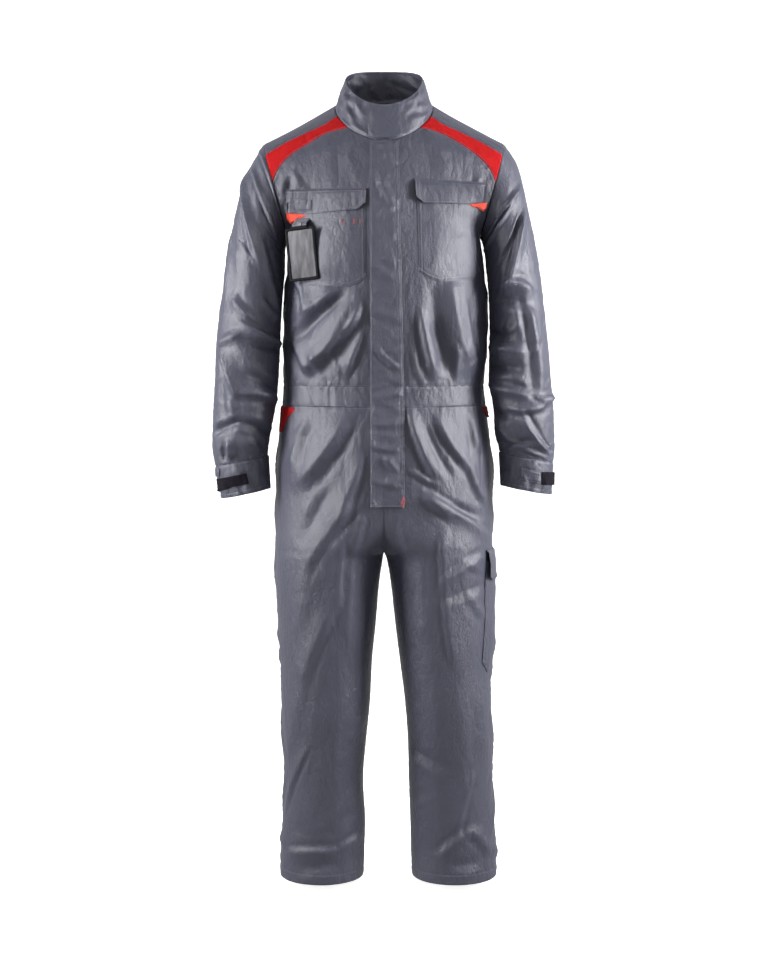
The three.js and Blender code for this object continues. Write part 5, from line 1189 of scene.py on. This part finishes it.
def loft(name, rings, material, closed=False, replaces=()):
    """A solid through rings of points in the badge's plane: across, up, depth towards the front."""
    n = len(rings[0])
    V = np.concatenate([origin + r[:, :1] * RIGHT + r[:, 1:2] * UP - r[:, 2:3] * INWARD for r in rings])
    F = []
    for k in range(len(rings) - (0 if closed else 1)):
        a, b = k * n, ((k + 1) % len(rings)) * n
        F += [(a + i, a + (i + 1) % n, b + (i + 1) % n, b + i) for i in range(n)]
    if not closed:
        F += [tuple(range(n))[::-1], tuple(range((len(rings) - 1) * n, len(rings) * n))]
    me = bpy.data.meshes.new(name)
    me.from_pydata((V / 1000.0).tolist(), [], F)
    me.update()
    for p in me.polygons:
        p.use_smooth = len(p.vertices) == 4
    me.materials.append(MATERIALS[material])
    at = me.attributes.new("cut", "FLOAT_VECTOR", "POINT")
    at.data.foreach_set("vector", (np.stack([(V - origin) @ RIGHT, (V - origin) @ UP, 0 * V[:, 0]], -1) / 1000.0).ravel())
    ob = bpy.data.objects.new(name, me)
    bpy.context.collection.objects.link(ob)
    finish_piece(ob, replaces)
    return ob


def level(outline, depth, shift=(0, 0)):
    return np.concatenate([outline + shift, np.full((len(outline), 1), float(depth))], 1)


def circle(r, n=20):
    a = 2 * np.pi * np.arange(n) / n
    return np.stack([r * np.cos(a), r * np.sin(a)], -1)


w, h, bar, half = BADGE["wide"], BADGE["high"], BADGE["bar"], BADGE["deep"] / 2
section = [(0.0, -half + 0.6), (0.5, -half), (bar - 0.5, -half), (bar, -half + 0.5), (bar, half - 0.7), (bar - 0.9, half), (1.1, half), (0.0, half - 1.0)]
loft("badge_frame_rim", [level(rounded(w - 2 * i, h - 2 * i, max(5 - i * 0.4, 2.0)), z) for i, z in section][::-1], "frame",
     closed=True, replaces=["badge_frame"])
inw, inh = w - 2 * bar + 1.2, h - 2 * bar + 1.2
# the back film's streaky light grey colour is painted reflection seen in the window, over its own dark tint
loft("badge_back_film", [level(rounded(inw, inh, 3), -half + 0.4), level(rounded(inw, inh, 3), -half + 1.0)], "window_back")
# the front film's light grey streaks are painted reflection
loft("badge_window_film", [level(rounded(inw - 0.2, inh - 0.2, 3), half - 1.5), level(rounded(inw - 0.2, inh - 0.2, 3), half - 1.0)], "film",
     replaces=["badge_window"])
# webbing strap from below the flap, bent forward to the frame, with its snap and the clip bar
cover = on_front(BADGE["x"], BADGE["z"] + h / 2 + 17, 5.4)
far = float((cover - (origin + INWARD * half)) @ INWARD)
path = np.array([(0.5, h / 2 - 2.0), (0.7, h / 2 + 2.0), (0.6, h / 2 + 5.5), (-far * 0.32, h / 2 + 9.5), (-far * 0.8, h / 2 + 14), (-far, h / 2 + 17.5)])
run = np.linspace(0, 1, 24)
knots = np.linspace(0, 1, len(path))
line = np.stack([np.interp(run, knots, path[:, i]) for i in (0, 1)], -1)
for _ in range(3):
    line[1:-1] = 0.5 * line[1:-1] + 0.25 * (line[2:] + line[:-2])
wide = np.linspace(-15, 15, 15)
P = (origin + INWARD * half + wide[None, :, None] * RIGHT + line[:, 1][:, None, None] * UP
     - (line[:, 0] + 1.0)[:, None, None] * INWARD)
N, turned = normals(P, origin + INWARD * 60 - np.array([0, 0, 30.0]))
P = P + N * (0.25 * np.exp(-((np.abs(wide) - 11.5) / 0.9) ** 2) * -1)[None, :, None]
wall_mesh("badge_strap_web", [(P, N, turned)], "webbing", 1.4, ["badge_strap"])
loft("badge_snap", [level(circle(r), z, (0, h / 2 + 5.5)) for r, z in ((5.0, -half + 1.4), (5.0, -half + 2.5), (4.2, -half + 3.1), (2.9, -half + 3.2), (2.5, -half + 2.7))],
     "steel")
loft("badge_clip", [level(rounded(36, 6, 2), z, (0, h / 2 - 1.0)) for z in (half - 0.2, half + 1.2)] + [level(rounded(35, 5, 2), half + 1.8, (0, h / 2 - 1.0))],
     "frame")

print("TRIANGLES", sum(sum(len(p.vertices) - 2 for p in o.data.polygons) for o in MADE),
      max((sum(len(p.vertices) - 2 for p in o.data.polygons), o.name) for o in MADE))

# ---------------------------------------------------------------- room, light and camera
scene = bpy.context.scene
world = bpy.data.worlds.new("studio")
scene.world = world
world.use_nodes = True
bg = world.node_tree.nodes["Background"]
bg.inputs["Color"].default_value = (1.0, 1.0, 1.0, 1)
bg.inputs["Strength"].default_value = 0.62


def stage_plane(name, corners, color, glow):
    me = bpy.data.meshes.new(name)
    me.from_pydata(corners, [], [(0, 1, 2, 3)])
    me.update()
    ob = bpy.data.objects.new(name, me)
    bpy.context.collection.objects.link(ob)
    m, nt, b = node_tree(name + "_paint")
    b.inputs["Base Color"].default_value = (*color, 1)
    b.inputs["Roughness"].default_value = 0.9
    b.inputs["Emission Color"].default_value = (1, 1, 1, 1)
    b.inputs["Emission Strength"].default_value = glow
    me.materials.append(m)
    return ob


FLOOR_Z = HEM / 1000.0 - 0.022
# the floor and the walls far round the suit are seen but throw no light or shadow on the cloth
WALL, TOP = 7.0, 6.0
stage = [stage_plane("pale_floor", [(-WALL, -WALL, FLOOR_Z), (WALL, -WALL, FLOOR_Z), (WALL, WALL, FLOOR_Z), (-WALL, WALL, FLOOR_Z)], (0.9, 0.9, 0.9), 0.9)]
for name, ax, ay, bx, by in (("back_wall", -1, 1, 1, 1), ("front_wall", 1, -1, -1, -1), ("left_wall", 1, 1, 1, -1), ("right_wall", -1, -1, -1, 1)):
    stage.append(stage_plane("pale_" + name, [(ax * WALL, ay * WALL, FLOOR_Z), (bx * WALL, by * WALL, FLOOR_Z), (bx * WALL, by * WALL, TOP),
                                              (ax * WALL, ay * WALL, TOP)], (0.9, 0.9, 0.9), 0.97))
    stage[-1].visible_shadow = False
for part in stage:
    part.visible_diffuse = False
    part.visible_glossy = False


def softbox(name, place, aim, width, height, power, tint=(1, 1, 1)):
    li = bpy.data.lights.new(name, "AREA")
    li.shape = "RECTANGLE"
    li.size, li.size_y = width, height
    li.energy = power
    li.color = tint
    ob = bpy.data.objects.new(name, li)
    bpy.context.collection.objects.link(ob)
    ob.location = place
    ob.rotation_euler = (Vector(aim) - Vector(place)).to_track_quat("-Z", "Y").to_euler()
    return ob


softbox("left_strip", (-1.8, -0.62, -0.12), (0, 0, -0.42), 0.5, 1.15, 74)
softbox("right_strip", (1.8, -0.5, -0.08), (0, 0, -0.42), 0.5, 1.15, 94)
softbox("front_key", (-0.5, -3.0, 1.6), (0, 0, -0.2), 1.0, 1.0, 3)

cam = bpy.data.cameras.new("camera")
cam.lens, cam.sensor_width, cam.sensor_fit = 84.6, 36.0, "AUTO"
cam_ob = bpy.data.objects.new("camera", cam)
bpy.context.collection.objects.link(cam_ob)
cam_ob.location = (0, -4.5, -0.4)
cam_ob.rotation_euler = (math.radians(90 - 4.17), 0, 0)
cam.clip_end = 50
scene.camera = cam_ob
scene.view_settings.view_transform = "Standard"
scene.view_settings.look = "None"
